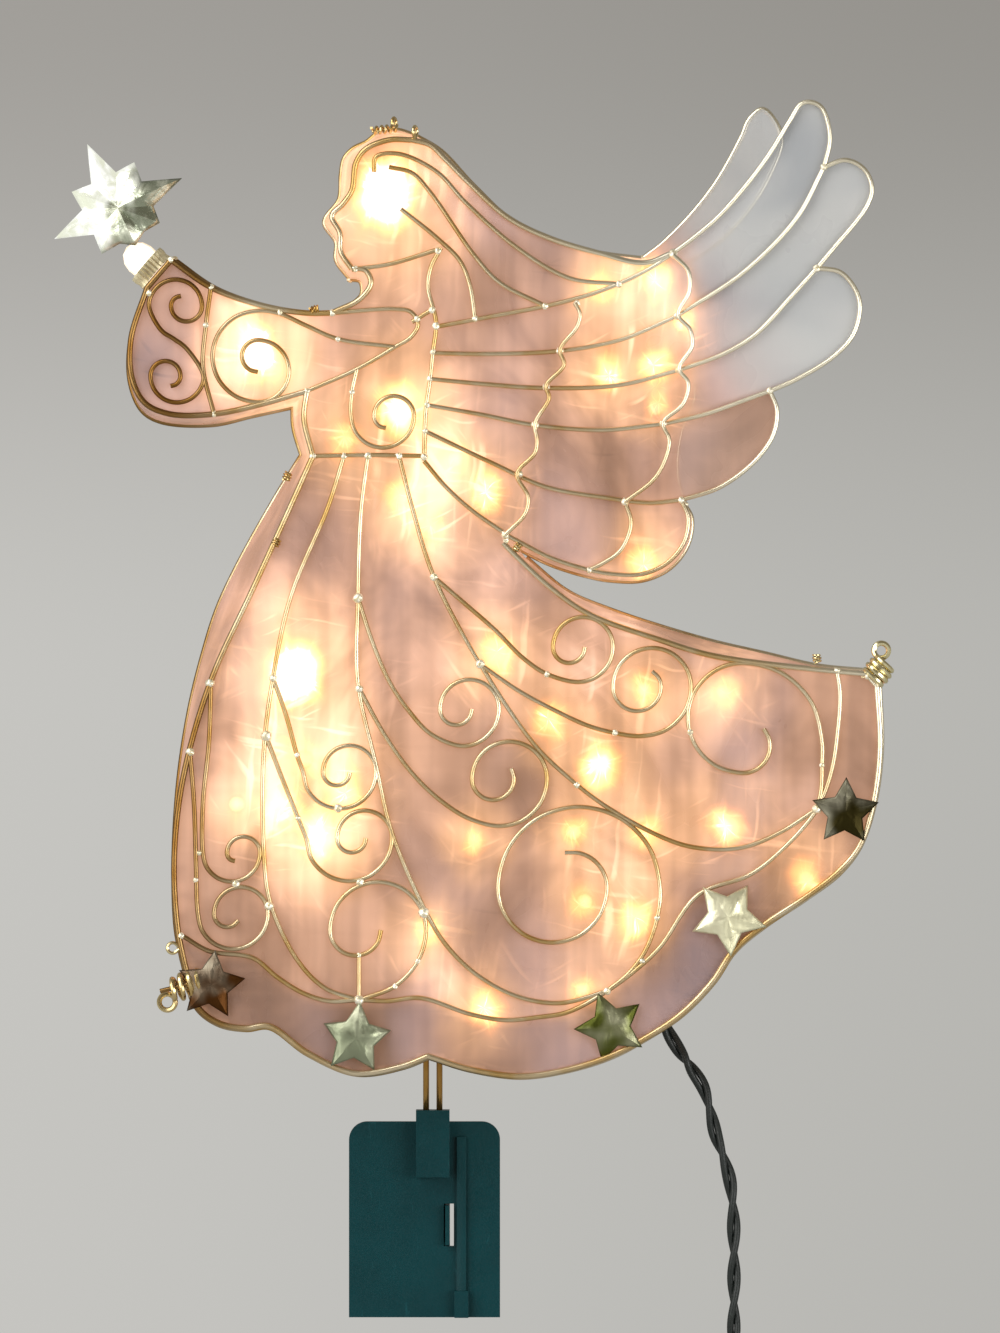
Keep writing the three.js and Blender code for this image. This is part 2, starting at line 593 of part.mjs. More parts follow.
// The wires of each soldered group on the front, as [stretches, diameter], and the groups that bound it
const frontGroups = [
  { name: 'front_outline', wires: [
    [[hairTopShares, faceShares], outlineWire],
    [[neckShares, sleeveTopShares], outlineWire],
    [[sleeveEndShares, sleeveUnderShares], outlineWire],
    [[bodiceSideShares, skirtSideShares, hemLeftShares, hemRightShares, skirtTopShares], outlineWire],
    [[jawShares], scrollWire],
    [[stubRightShares], scrollWire],
    [[stubLeftShares], scrollWire],
  ] },
  { name: 'wing_ribs', wires: [
    [[wingRibShares[0], reversed(feather2Shares)], scrollWire],
    [[wingRibShares[1], reversed(feather3RootShares)], scrollWire],
    [[wingRibShares[2], reversed(feather4RootShares)], scrollWire],
    [[wingRibShares[3], reversed(feather5RootShares)], scrollWire],
    [[wingRibShares[4], reversed(feather6RootShares)], scrollWire],
    [[wingRibShares[5], wingUnderShares], scrollWire],
    [[feather3Shares], scrollWire],
    [[feather4Shares], scrollWire],
    [[feather5Shares], scrollWire],
    [[innerFeatherShares], scrollWire],
    [[wingRootShares], scrollWire],
    ...hairStrandShares.map((shares) => [[shares], strandWire]),
  ] },
  { name: 'bodice_wires', wires: [
    [[sleeveCuffShares], scrollWire],
    [[shoulderTieShares], scrollWire],
    [scroll(bodiceStemShares, bodiceCurl), scrollWire],
    [scroll(sleeveStemShares, sleeveCurl), scrollWire],
  ] },
  { name: 'sleeve_scrolls', wires: [
    [[sleeveDividerShares], scrollWire],
    [[[...reversed(curl(sleeveUpperCurl)), ...sleeveBendShares, ...curl(sleeveLowerCurl)]], scrollWire],
  ] },
  { name: 'side_scroll_upper', wires: [[scroll(leftStem1Shares, left1Curl), scrollWire]] },
  { name: 'side_scroll_lower', wires: [[scroll(leftStem2Shares, left2Curl), scrollWire]] },
  { name: 'skirt_scrollwork', wires: [
    [[waistShares], scrollWire],
    [[rib1Shares], scrollWire],
    [[rib2Shares], scrollWire],
    [[rib3Shares], scrollWire],
    [[innerHemShares], scrollWire],
    [[starPostShares], scrollWire],
    [scroll(rib1Stem1Shares, rib1Curl1), scrollWire],
    [scroll(rib1Stem2Shares, rib1Curl2), scrollWire],
    [scroll(rib1Stem3Shares, rib1Curl3), scrollWire],
    [scroll(rib2Stem1Shares, rib2Curl1), scrollWire],
    [scroll(rib2Stem2Shares, rib2Curl2), scrollWire],
    [scroll(rib2Stem3Shares, rib2Curl3), scrollWire],
    [scroll(rib3Stem1Shares, rib3Curl1), scrollWire],
    [scroll(rib3Stem2Shares, rib3Curl2), scrollWire],
    [scroll(rib3Stem3Shares, rib3Curl3), scrollWire],
  ] },
];
const sidesOf = (diameter) => (diameter > scrollWire ? 6 : 5);

function frontEyes() {
  return [
    eye(place([0.415, 0.139], frontWireY), Math.PI / 2, THREE.MathUtils.degToRad(70)),
    eye(place([0.18, 0.948], frontWireY), Math.PI, 0),
  ];
}

const grown = [];
for (const group of frontGroups) {
  const build = (margin) => group.wires.map(([stretches, diameter]) => (
    wire(stretches, frontWireY, diameter, sidesOf(diameter), margin)));
  let solid = union(build(0));
  if (group.name === 'front_outline') solid = union([solid, ...frontEyes()]);
  for (const neighbour of grown) solid = solid.subtract(neighbour);
  grown.push(union(build(clearance)));
  add(group.name, solid, gold);
}
add('scallop_inner', wire([innerScallopShares], scallopY, scallopWire, 5), gold);
add('scallop_middle', wire([middleScallopShares], scallopY, scallopWire, 5), gold);

// Films: flat panels with the outline of their frame
function outlineShape(stretches) {
  const points = stretches.flatMap((shares) => {
    const line = smooth(shares.map((share) => place(share, 0)));
    return line.map((point) => new THREE.Vector2(point.x, point.z));
  });
  return new THREE.Shape(points.filter((point, i) => i === 0 || point.distanceTo(points[i - 1]) > clearance));
}

const frontFilmShape = outlineShape([
  faceShares, neckShares, sleeveTopShares, sleeveEndShares, sleeveUnderShares, bodiceSideShares, skirtSideShares,
  hemLeftShares, hemRightShares, skirtTopShares, wingUnderShares, feather5Shares, feather4Shares, feather3Shares,
  feather2Shares, hairTopShares,
]);
add('front_film', sheetSolid(frontFilmShape, filmThickness, frontFilmY), film);

const backFilmShape = outlineShape([
  backFaceShares, backNeckShares, backSleeveTopShares, backSleeveEndShares, backSleeveUnderShares,
  backBodiceShares, backSkirtSideShares, backHemLeftShares, backHemRightShares, backSkirtTopShares,
  backWingUnderShares, backWingEdgeShares.slice(0, -1), backFeatherShares, backHairTopShares,
]);
for (const share of lampShares) {
  const hole = new THREE.Path();
  hole.absarc(across(share[0]), up(share[1]), socketRadius + 2 * clearance, 0, 2 * Math.PI, true);
  backFilmShape.holes.push(hole);
}
add('back_film', sheetSolid(backFilmShape, filmThickness, backFilmY), backFilm);

// Back frame
const backFrame = union([
  wire([backHairTopShares, backFaceShares], backWireY, backWire, 5),
  wire([backNeckShares, backSleeveTopShares], backWireY, backWire, 5),
  wire([backSleeveEndShares, backSleeveUnderShares], backWireY, backWire, 5),
  wire([backBodiceShares, backSkirtSideShares, backHemLeftShares, backHemRightShares, backSkirtTopShares,
    backSkirtTieShares], backWireY, backWire, 5),
  wire([backWingUnderShares], backWireY, backWire, 5),
  wire([backWingEdgeShares], backWireY, backWire, 5),
  wire([backFeatherShares], backWireY, backWire, 5),
  eye(place([0.393, 0.125], backWireY), Math.PI / 2, THREE.MathUtils.degToRad(70)),
]);
add('back_frame', backFrame, gold);

// Side band between the frames, in strips: a thin wall ruled from a front edge to a back edge
function evenly(shares, count) {
  const curve = new THREE.CatmullRomCurve3(shares.map((share) => place(share, 0)), false, 'centripetal');
  return curve.getSpacedPoints(count);
}

function inset(points) {
  return points.map((point, i) => {
    const before = points[Math.max(i - 1, 0)];
    const after = points[Math.min(i + 1, points.length - 1)];
    const run = after.clone().sub(before).normalize();
    return point.clone().add(new THREE.Vector3(-run.z, 0, run.x).multiplyScalar(bandThickness));
  });
}

function trimmed(points) {
  const cut = bandThickness + clearance;
  const toward = (from, to) => from.clone().add(to.clone().sub(from).setLength(cut));
  const last = points.length - 1;
  return [toward(points[0], points[1]), ...points.slice(1, last), toward(points[last], points[last - 1])];
}

function bandStrip(pairs) {
  const edges = [[], []];
  for (const [front, back] of pairs) {
    const curve = new THREE.CatmullRomCurve3(front.map((share) => place(share, 0)), false, 'centripetal');
    const count = Math.max(1, Math.ceil(curve.getLength() / bandStep));
    [front, back].forEach((shares, side) => {
      const line = evenly(shares, count);
      edges[side].push(...(edges[side].length ? line.slice(1) : line));
    });
  }
  const [front, back] = edges.map(trimmed);
  const frontY = frontFilmY + filmThickness + clearance;
  const backY = backFilmY - clearance;
  const atDepth = (points, y) => points.map((point) => [point.x, y, point.z]);
  const rails = [
    atDepth(front, frontY), atDepth(back, backY), atDepth(inset(back), backY), atDepth(inset(front), frontY),
  ];
  const pieces = [];
  for (let i = 0; i < front.length - 1; i += 1) {
    pieces.push(wasm.Manifold.hull(rails.flatMap((rail) => [rail[i], rail[i + 1]])));
  }
  return union(pieces);
}

const bands = {
  band_head: [[faceShares, backFaceShares], [neckShares, backNeckShares]],
  band_sleeve: [[sleeveTopShares, backSleeveTopShares], [sleeveEndShares, backSleeveEndShares],
    [sleeveUnderShares, backSleeveUnderShares]],
  band_skirt_side: [[bodiceSideShares, backBodiceShares], [skirtSideShares, backSkirtSideShares]],
  band_hem_left: [[hemLeftShares, backHemLeftShares]],
  band_hem_right: [[hemRightShares, backHemRightShares]],
  band_skirt_top: [[skirtTopShares, backSkirtTopShares]],
  band_wing: [[wingUnderShares, backWingUnderShares], [wingEdgeShares, backWingEdgeShares]],
  band_hair: [[hairTopShares, backHairEdgeShares]],
};
for (const [name, pairs] of Object.entries(bands)) add(name, bandStrip(pairs), film);

// Stars: thin foil with a raised middle
function foilStar(radii, heading, middle, depth) {
  const front = [[0, -depth, 0]];
  radii.forEach((radius, i) => {
    const angle = THREE.MathUtils.degToRad(heading) + (i * 2 * Math.PI) / radii.length;
    front.push([radius * Math.cos(angle), 0, radius * Math.sin(angle)]);
  });
  const behind = front.map(([x, y, z]) => [x, y + foilThickness, z]);
  const count = radii.length;
  const faces = [];
  for (let i = 0; i < count; i += 1) {
    const a = 1 + i;
    const b = 1 + ((i + 1) % count);
    const c = a + count + 1;
    const d = b + count + 1;
    faces.push(0, a, b, count + 1, d, c, a, c, d, a, d, b);
  }
  const geometry = new THREE.BufferGeometry();
  geometry.setAttribute('position', new THREE.Float32BufferAttribute([...front, ...behind].flat(), 3));
  geometry.setIndex(faces);
  geometry.computeVertexNormals();
  return geometry.translate(middle.x, middle.y - foilThickness, middle.z);
}

hemStars.forEach(({ middleShare, heading }, i) => {
  const radii = Array.from({ length: starRim }, (_, k) => (k % 2 ? starRadius * starValleyShare : starRadius));
  add(`hem_star_${i + 1}`, foilStar(radii, heading, place(middleShare, frontStarY), starDepth), foilGold);
});
const wandRadii = Array.from({ length: wandRim }, (_, k) => (
  [wandPointLength, wandValleyRadius, wandShortPointLength, wandValleyRadius][k % 4]));
const wandStarY = lanternY - cuffRadius - cuffFluteDepth - clearance;
add('wand_star', foilStar(wandRadii, wandStar.heading, place(wandStar.middleShare, wandStarY), wandStarDepth),
  foilGold);

// Wand lamp and its fluted cuff, along the way out of the sleeve's end
const wandBase = place(wandBaseShare, lanternY);
const wandWay = place(wandTipShare, lanternY).sub(wandBase).normalize();
const wandTurn = new THREE.Quaternion().setFromUnitVectors(new THREE.Vector3(0, 1, 0), wandWay);

function lathe(profile, segments) {
  return new THREE.LatheGeometry(profile.map(([radius, at]) => new THREE.Vector2(radius, at)), segments);
}

function alongWand(geometry) {
  return geometry.applyQuaternion(wandTurn).translate(wandBase.x, wandBase.y, wandBase.z);
}

const lampShoulder = wandLampLength - wandLampRadius;
const wandLamp = lathe([[0, 0], [wandLampRadius, 0], [wandLampRadius, lampShoulder],
  [wandLampRadius * Math.cos(Math.PI / 6), lampShoulder + wandLampRadius * Math.sin(Math.PI / 6)],
  [wandLampRadius * Math.cos(Math.PI / 3), lampShoulder + wandLampRadius * Math.sin(Math.PI / 3)],
  [0, wandLampLength]], 14);
add('wand_lamp', alongWand(wandLamp), lampWhite);

const cuffShape = new THREE.Shape(Array.from({ length: cuffFlutes * 2 }, (_, i) => {
  const radius = cuffRadius + (i % 2 ? cuffFluteDepth : 0);
  const angle = (i * Math.PI) / cuffFlutes;
  return new THREE.Vector2(radius * Math.cos(angle), radius * Math.sin(angle));
}));
const cuffBore = new THREE.Path();
cuffBore.absarc(0, 0, wandLampRadius + 2 * clearance, 0, 2 * Math.PI, true);
cuffShape.holes.push(cuffBore);
const cuff = new THREE.ExtrudeGeometry(cuffShape, { depth: cuffLength, bevelEnabled: false, curveSegments: 8 });
add('wand_cuff', alongWand(cuff.rotateX(-Math.PI / 2)), gold);

// Lamps in the back film, and the string that carries their sockets
const filmRear = backFilmY + filmThickness;
const socketFront = backFilmY - socketDepth;
const stringY = filmRear + clearance + socketFlange + socketTail / 2;
const bulbProfile = [[0, 0], [bulbRadius * bulbFootShare, 0], [bulbRadius, bulbLength * bulbBellyShare],
  [bulbRadius, bulbLength * bulbShoulderShare], [bulbRadius * bulbTipShare, bulbLength * bulbTipStartShare],
  [0, bulbLength]];
const socketProfile = [
  [0, socketFront], [socketRadius, socketFront], [socketRadius, filmRear + clearance],
  [socketRadius + socketFlangeWidth, filmRear + clearance],
  [socketRadius + socketFlangeWidth, filmRear + clearance + socketFlange],
  [socketRadius, filmRear + clearance + socketFlange],
  [socketRadius, filmRear + clearance + socketFlange + socketTail],
  [0, filmRear + clearance + socketFlange + socketTail],
];
lampShares.forEach((share, i) => {
  const seat = place(share, socketFront - clearance);
  const bulb = lathe(bulbProfile, 7).rotateX(Math.PI);
  add(`bulb_${i + 1}`, bulb.translate(seat.x, seat.y, seat.z), glowGlass);
});

const spliceMiddle = place(spliceShare, filmRear + clearance + spliceDepth / 2);

function lightString() {
  const sockets = lampShares.map((share) => {
    const seat = place(share, 0);
    return solidOf(lathe(socketProfile, 6).translate(seat.x, 0, seat.z));
  });
  const route = [];
  lampShares.forEach((share, i) => {
    const here = place(share, stringY);
    if (i > 0) {
      const droop = new THREE.Vector3(0, 0, -stringDroop);
      route.push(here.clone().add(route[route.length - 1]).divideScalar(2).add(droop));
    }
    route.push(here);
  });
  const intoSplice = spliceMiddle.clone().setY(stringY).setX(spliceMiddle.x - spliceWidth / 2 - clearance);
  const before = intoSplice.clone().setX(intoSplice.x - spliceWidth / 2);
  return union([...sockets, solidOf(tube([...smooth([...route, before]), intoSplice], stringWire, 5))]);
}
add('light_string', lightString(), stringGreen);

// Wound wires: a helix along an axis, with a ring at its end where there is one
function winding(from, to, radius, pitch, ringRadius) {
  const axis = to.clone().sub(from);
  const turns = Math.floor(axis.length() / pitch);
  const way = axis.normalize();
  const depth = new THREE.Vector3(0, 1, 0);
  const side = way.clone().cross(depth);
  const points = [];
  const steps = turns * 8;
  for (let i = 0; i <= steps; i += 1) {
    const angle = (i * Math.PI) / 4;
    points.push(from.clone().addScaledVector(way, (pitch * i) / 8)
      .addScaledVector(side, radius * Math.cos(angle)).addScaledVector(depth, radius * Math.sin(angle)));
  }
  if (ringRadius) {
    const start = points[steps];
    const middle = start.clone().addScaledVector(way, ringRadius);
    const ringSteps = 9;
    for (let i = 1; i <= ringSteps; i += 1) {
      const angle = (i * Math.PI) / 6;
      points.push(middle.clone().addScaledVector(way, -ringRadius * Math.cos(angle))
        .addScaledVector(side, ringRadius * Math.sin(angle)));
    }
  }
  return points;
}

// The least gap between the surfaces of a tube's turns, measured on its own points
function selfGap(points, diameter) {
  let least = Infinity;
  const along = [0];
  for (let i = 1; i < points.length; i += 1) along.push(along[i - 1] + points[i].distanceTo(points[i - 1]));
  for (let i = 0; i < points.length - 1; i += 1) {
    for (let k = i + 1; k < points.length - 1; k += 1) {
      if (along[k] - along[i + 1] < 2 * diameter) continue;
      const chord = new THREE.Line3(points[k], points[k + 1]);
      for (const share of [0, 0.5, 1]) {
        const point = points[i].clone().lerp(points[i + 1], share);
        const near = chord.closestPointToPoint(point, true, new THREE.Vector3());
        least = Math.min(least, near.distanceTo(point) - diameter);
      }
    }
  }
  return least;
}

function addWinding(name, points, diameter, sides, finish) {
  console.log(`${name}: least gap to itself ${selfGap(points, diameter).toFixed(2)} mm`);
  add(name, tube(points, diameter, sides), finish);
}

const [rightFrom, rightTo] = claspRightShares.map((share) => place(share, frontWireY));
const [leftFrom, leftTo] = claspLeftShares.map((share) => place(share, frontWireY));
addWinding('clasp_right', winding(rightFrom, rightTo, claspRadius, claspPitch, claspRingRadius), claspWire, 5, gold);
addWinding('clasp_left', winding(leftFrom, leftTo, claspRadius, claspPitch, 0), claspWire, 5, gold);
addWinding('head_winding', winding(place([0.371, 0.128], lanternY), place([0.401, 0.125], lanternY), windingRadius,
  windingPitch, 0), windingWire, 5, gold);

// Clamp: front plate with its boss, cradles, rib, tongue and hinge knuckles
const plateRear = -stemRoom / 2;
const plateLeft = -gripInset;
const hingeX = plateLeft + knuckleRadius;
const hingeY = plateRear + knuckleRadius;
const slotLeft = slotOffset - tabThickness / 2 - tabSlack;
const cradleHalfWidth = stemRadius * cradleShare;

function roundedPlate() {
  const right = plateLeft + clampWidth;
  const top = clampHeight / 2;
  const shape = new THREE.Shape();
  shape.moveTo(plateLeft, -top);
  shape.lineTo(right, -top);
  shape.lineTo(right, top - clampCorner);
  shape.absarc(right - clampCorner, top - clampCorner, clampCorner, 0, Math.PI / 2, false);
  shape.absarc(plateLeft + clampCorner, top - clampCorner, clampCorner, Math.PI / 2, Math.PI, false);
  shape.closePath();
  return shape;
}

// A cradle's arc against the stem, its back on a wall at the given depth
function cradle(wallY, z) {
  const side = Math.sign(wallY);
  const reach = Math.sqrt(stemRadius ** 2 - cradleHalfWidth ** 2);
  const shape = new THREE.Shape();
  const angle = Math.atan2(reach, cradleHalfWidth);
  shape.moveTo(-cradleHalfWidth, wallY + side * cutOverrun / 2);
  for (let i = 0; i <= 6; i += 1) {
    const a = Math.PI - angle - (i * (Math.PI - 2 * angle)) / 6;
    shape.lineTo(stemRadius * Math.cos(a), side * stemRadius * Math.sin(a));
  }
  shape.lineTo(cradleHalfWidth, wallY + side * cutOverrun / 2);
  shape.closePath();
  const geometry = new THREE.ExtrudeGeometry(shape, { depth: cradleThickness, bevelEnabled: false });
  return solidOf(geometry.translate(0, 0, z - cradleThickness / 2));
}

function clampPlate() {
  const top = clampHeight / 2;
  const knuckleMiddle = strapHeight / 2 + clearance + knuckleLength / 2;
  const ribLength = clampHeight - 2 * ribMargin;
  let plate = union([
    sheetSolid(roundedPlate(), clampWall, plateFront),
    box(ribWidth, ribHeight + clampWall / 2, ribLength, ribOffset, plateFront - (ribHeight - clampWall / 2) / 2, 0),
    box(tongueWidth, tongueDepth + clampWall / 2, tongueHeight, ribOffset, plateFront
      - (tongueDepth - clampWall / 2) / 2, -top + tongueHeight / 2),
    box(bossWidth, bossDepth + clampWall / 2, bossHeight, bossOffset, plateFront
      - (bossDepth - clampWall / 2) / 2, top + bossRise - bossHeight / 2),
    cradle(plateRear, top - cradleThickness * 2),
    cradle(plateRear, -top + cradleThickness * 2),
  ]);
  for (const side of [-1, 1]) {
    const z = side * knuckleMiddle;
    plate = plate.add(rod(knuckleRadius, knuckleLength, hingeX, hingeY, z, 14));
    plate = plate.add(box(knuckleRadius * 2, knuckleRadius, knuckleLength, hingeX, plateRear + knuckleRadius / 2, z));
    plate = plate.subtract(rod(pinRadius + clearance, knuckleLength + 2 * cutOverrun, hingeX, hingeY, z, 12));
    plate = plate.subtract(rod(standWire / 2 + clearance, standSocketDepth + cutOverrun,
      bossOffset + side * standLegSpacing / 2, standY, top + bossRise - (standSocketDepth - cutOverrun) / 2, 14));
  }
  const slotMiddle = -slotDrop;
  return plate.subtract(box(slotWidth, clampWall + 2 * cutOverrun, slotHeight, slotLeft + slotWidth / 2,
    plateFront + clampWall / 2, slotMiddle));
}
add('clamp_plate', clampPlate(), teal);

// Strap: the clamp's hinged rear half, with the tab that passes through the slot
function clampStrap() {
  const barrel = knuckleRadius - clearance;
  const left = hingeX - barrel;
  const rear = stemRoom / 2;
  const right = slotOffset + tabThickness / 2;
  const wall = clampWall;
  const tabFront = plateFront - tabReach;
  const tabHeight = slotHeight - 2 * tabSlack;
  let strap = union([
    rod(barrel, strapHeight, hingeX, hingeY, 0, 14),
    box(wall * kneeShare, rear + wall - hingeY, strapHeight, left + (wall * kneeShare) / 2, (rear + wall + hingeY) / 2, 0),
    box(right - left, wall, strapHeight, (left + right) / 2, rear + wall / 2, 0),
    box(tabThickness, rear + wall / 2 - tabFront, tabHeight, slotOffset, (rear + wall / 2 + tabFront) / 2, -slotDrop),
    cradle(rear, (strapHeight - cradleThickness) / 2),
    cradle(rear, -(strapHeight - cradleThickness) / 2),
  ]);
  strap = strap.subtract(rod(pinRadius + clearance, strapHeight + 2 * cutOverrun, hingeX, hingeY, 0, 12));
  return strap;
}
add('clamp_strap', clampStrap(), teal);

const pinTop = strapHeight / 2 + 2 * clearance + knuckleLength;
add('hinge_pin', union([
  rod(pinRadius, 2 * pinTop, hingeX, hingeY, 0, 12),
  rod(pinHeadRadius, pinHeadHeight, hingeX, hingeY, pinTop + pinHeadHeight / 2, 12),
]), steel);

// Stand wire: a hairpin from the hem's inner wire level down into the boss
function standWirePath() {
  const bottom = clampHeight / 2 + bossRise - standSocketDepth + clearance;
  const top = up(0.998);
  const radius = standLegSpacing / 2;
  const points = [new THREE.Vector3(bossOffset - radius, standY, bottom)];
  for (let i = 0; i <= 6; i += 1) {
    const angle = Math.PI - (i * Math.PI) / 6;
    points.push(new THREE.Vector3(bossOffset + radius * Math.cos(angle), standY, top + radius * Math.sin(angle)));
  }
  points.push(new THREE.Vector3(bossOffset + radius, standY, bottom));
  return points;
}
add('stand_wire', tube(standWirePath(), standWire, 8), gold);

// Splice and strain relief on the back film, where the lead leaves
const leadStart = new THREE.Vector3(...leadRoute[0]);
add('splice', box(spliceWidth, spliceDepth, spliceLength, spliceMiddle.x, spliceMiddle.y, spliceMiddle.z), plugGreen);
const reliefTop = spliceMiddle.z - spliceLength / 2 - clearance;
const reliefBottom = leadStart.z + clearance;
const relief = lathe([[0, reliefBottom], [leadDiameter / 2 + clearance, reliefBottom], [reliefRadius, reliefTop],
  [0, reliefTop]], 12).rotateX(Math.PI / 2);
add('strain_relief', relief.translate(leadStart.x, leadStart.y, 0), leadGreen);

// Lead: the hanging stretch, the coil of what is put away, and the end that goes to the plug
const leadPoints = [leadStart, ...smooth(leadRoute.slice(1).map((point) => new THREE.Vector3(...point)))];
add('lead', tube(leadPoints, leadDiameter, 8), leadGreen);

const leadEnd = leadPoints[leadPoints.length - 1];
const coilPitch = leadDiameter + coilGap;
const innerRadius = coilRadius - coilPitch / 2;
const coilMiddle = leadEnd.clone().add(new THREE.Vector3(-innerRadius, coilPitch, -clearance - coilLeadIn));

function coilPoint(turn) {
  const layerTurns = coilTurns / 2;
  const step = THREE.MathUtils.smoothstep(turn, layerTurns - 0.5, layerTurns + 0.5);
  const radius = innerRadius + coilPitch * step;
  const angle = -2 * Math.PI * turn;
  const shift = turn < layerTurns ? (turn * (layerTurns + 1)) / layerTurns - 1 : coilTurns - turn;
  return coilMiddle.clone().add(new THREE.Vector3(radius * Math.cos(angle), coilPitch * shift,
    radius * Math.sin(angle)));
}

const straightOn = new THREE.Vector3(0, 0, coilLeadIn);
const coilPoints = Array.from({ length: coilTurns * coilSteps + 1 }, (_, i) => coilPoint(i / coilSteps));
coilPoints.unshift(coilPoints[0].clone().add(straightOn));
coilPoints.push(coilPoints[coilPoints.length - 1].clone().sub(straightOn));
addWinding('lead_coil', coilPoints, leadDiameter, 6, leadGreen);

const tailStart = coilPoints[coilPoints.length - 1].clone().add(new THREE.Vector3(0, 0, -clearance));
const tailEnd = tailStart.clone().setZ(tailStart.z - tailLength);
add('lead_end', tube([tailStart, tailEnd], leadDiameter, 8), leadGreen);

// Tie round the coil's bundle, on the side away from the lead
function tieShape() {
  const axial = coilPitch * (coilTurns / 2) + leadDiameter + 3 * clearance;
  const radial = coilPitch + leadDiameter + 5 * clearance;
  const frame = (grow) => {
    const x = radial / 2 + grow;
    const y = axial / 2 + grow;
    return [[-x, -y], [x, -y], [x, y], [-x, y]].map(([a, b]) => new THREE.Vector2(a, b));
  };
  const shape = new THREE.Shape(frame(tieThickness));
  shape.holes.push(new THREE.Path(frame(0).reverse()));
  return shape;
}
const tie = new THREE.ExtrudeGeometry(tieShape(), { depth: tieWidth, bevelEnabled: false });
const tieY = (coilPoint(0.5).y + coilPoint(coilTurns / 2 + 0.5).y) / 2;
add('coil_tie', tie.translate(coilMiddle.x - coilRadius, tieY, coilMiddle.z - tieWidth / 2), plugGreen);

// Plug with its two blades and the sliding cover of its fuse
const plugTop = tailEnd.z - clearance;
const plugMiddle = new THREE.Vector3(tailEnd.x, tailEnd.y, plugTop - plugLength / 2);

function plugBody() {
  const shape = new THREE.Shape();
  const x = plugWidth / 2;
  const y = plugDepth / 2;
  const r = plugCorner;
  shape.absarc(x - r, y - r, r, 0, Math.PI / 2, false);
  shape.absarc(-x + r, y - r, r, Math.PI / 2, Math.PI, false);
  shape.absarc(-x + r, -y + r, r, Math.PI, 1.5 * Math.PI, false);
  shape.absarc(x - r, -y + r, r, 1.5 * Math.PI, 2 * Math.PI, false);
  const body = new THREE.ExtrudeGeometry(shape, { depth: plugLength, bevelEnabled: false, curveSegments: 4 });
  const pocketDepth = doorThickness + clearance;
  const pocketLength = doorLength + doorTravel() + clearance;
  return solidOf(body.translate(plugMiddle.x, plugMiddle.y, plugTop - plugLength)).subtract(
    box(doorWidth + 2 * clearance, pocketDepth * 2, pocketLength * 2, plugMiddle.x, plugMiddle.y - y,
      plugTop - plugLength));
}

function doorTravel() {
  return doorLength / 2;
}
add('plug', plugBody(), plugGreen);
for (const side of [-1, 1]) {
  add(side < 0 ? 'plug_blade_left' : 'plug_blade_right', new THREE.BoxGeometry(bladeThickness, bladeWidth, bladeLength)
    .translate(plugMiddle.x + side * bladeSpacing / 2, plugMiddle.y + plugDepth / 8,
      plugTop - plugLength - clearance - bladeLength / 2), brass);
}
const doorTop = plugTop - plugLength + doorLength + doorTravel();
const doorY = plugMiddle.y - plugDepth / 2 + doorThickness / 2;
add('fuse_cover', union([
  box(doorWidth, doorThickness, doorLength, plugMiddle.x, doorY, doorTop - doorLength / 2),
  ...[-1, 0, 1].map((step) => box(doorWidth * doorGripShare, doorGripHeight * 2, doorGripHeight, plugMiddle.x,
    doorY - doorThickness / 2, doorTop - doorLength / 2 + step * doorGripHeight * 2)),
]), plugGreen);

export default angel;
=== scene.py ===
"""Lighted angel tree topper: two frames of soldered gold wire with film between them, lamps
inside, foil stars, and a clamp that grips the tree's leader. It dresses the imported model."""

import math

import bmesh
import bpy
from mathutils import Matrix, Vector, noise
from mathutils.geometry import delaunay_2d_cdt
from mathutils.kdtree import KDTree


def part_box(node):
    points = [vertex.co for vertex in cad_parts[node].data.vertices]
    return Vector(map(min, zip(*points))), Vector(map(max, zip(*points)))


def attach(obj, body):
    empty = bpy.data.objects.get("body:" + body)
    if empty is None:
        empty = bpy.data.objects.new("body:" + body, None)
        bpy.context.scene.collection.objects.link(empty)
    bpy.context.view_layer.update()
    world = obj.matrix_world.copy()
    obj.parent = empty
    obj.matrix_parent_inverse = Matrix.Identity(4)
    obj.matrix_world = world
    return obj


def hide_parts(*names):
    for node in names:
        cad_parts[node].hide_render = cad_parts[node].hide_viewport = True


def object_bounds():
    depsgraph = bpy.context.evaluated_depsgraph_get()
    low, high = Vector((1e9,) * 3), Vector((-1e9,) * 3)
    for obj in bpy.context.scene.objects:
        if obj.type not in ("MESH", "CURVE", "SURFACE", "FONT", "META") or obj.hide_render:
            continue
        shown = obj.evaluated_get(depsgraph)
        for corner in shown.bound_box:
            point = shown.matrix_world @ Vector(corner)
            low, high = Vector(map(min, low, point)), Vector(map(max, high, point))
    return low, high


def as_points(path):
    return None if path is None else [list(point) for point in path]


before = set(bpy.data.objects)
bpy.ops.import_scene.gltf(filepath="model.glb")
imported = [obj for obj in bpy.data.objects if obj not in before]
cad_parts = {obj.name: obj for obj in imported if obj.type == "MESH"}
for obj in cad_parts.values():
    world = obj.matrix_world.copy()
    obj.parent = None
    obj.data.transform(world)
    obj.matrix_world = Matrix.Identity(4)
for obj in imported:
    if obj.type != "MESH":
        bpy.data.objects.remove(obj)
CAD_BOX = [list(corner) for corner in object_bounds()]

bl_info = {
    "name": "Lighted angel tree topper",
    "version": (1, 0, 0),
    "blender": (4, 5, 0),
    "location": "3D Viewport > Sidebar > Topper",
    "description": "Makes the wire, film, lamps, stars, clamp and lead of a lighted angel tree topper",
    "category": "Object",
}

MM = 0.001

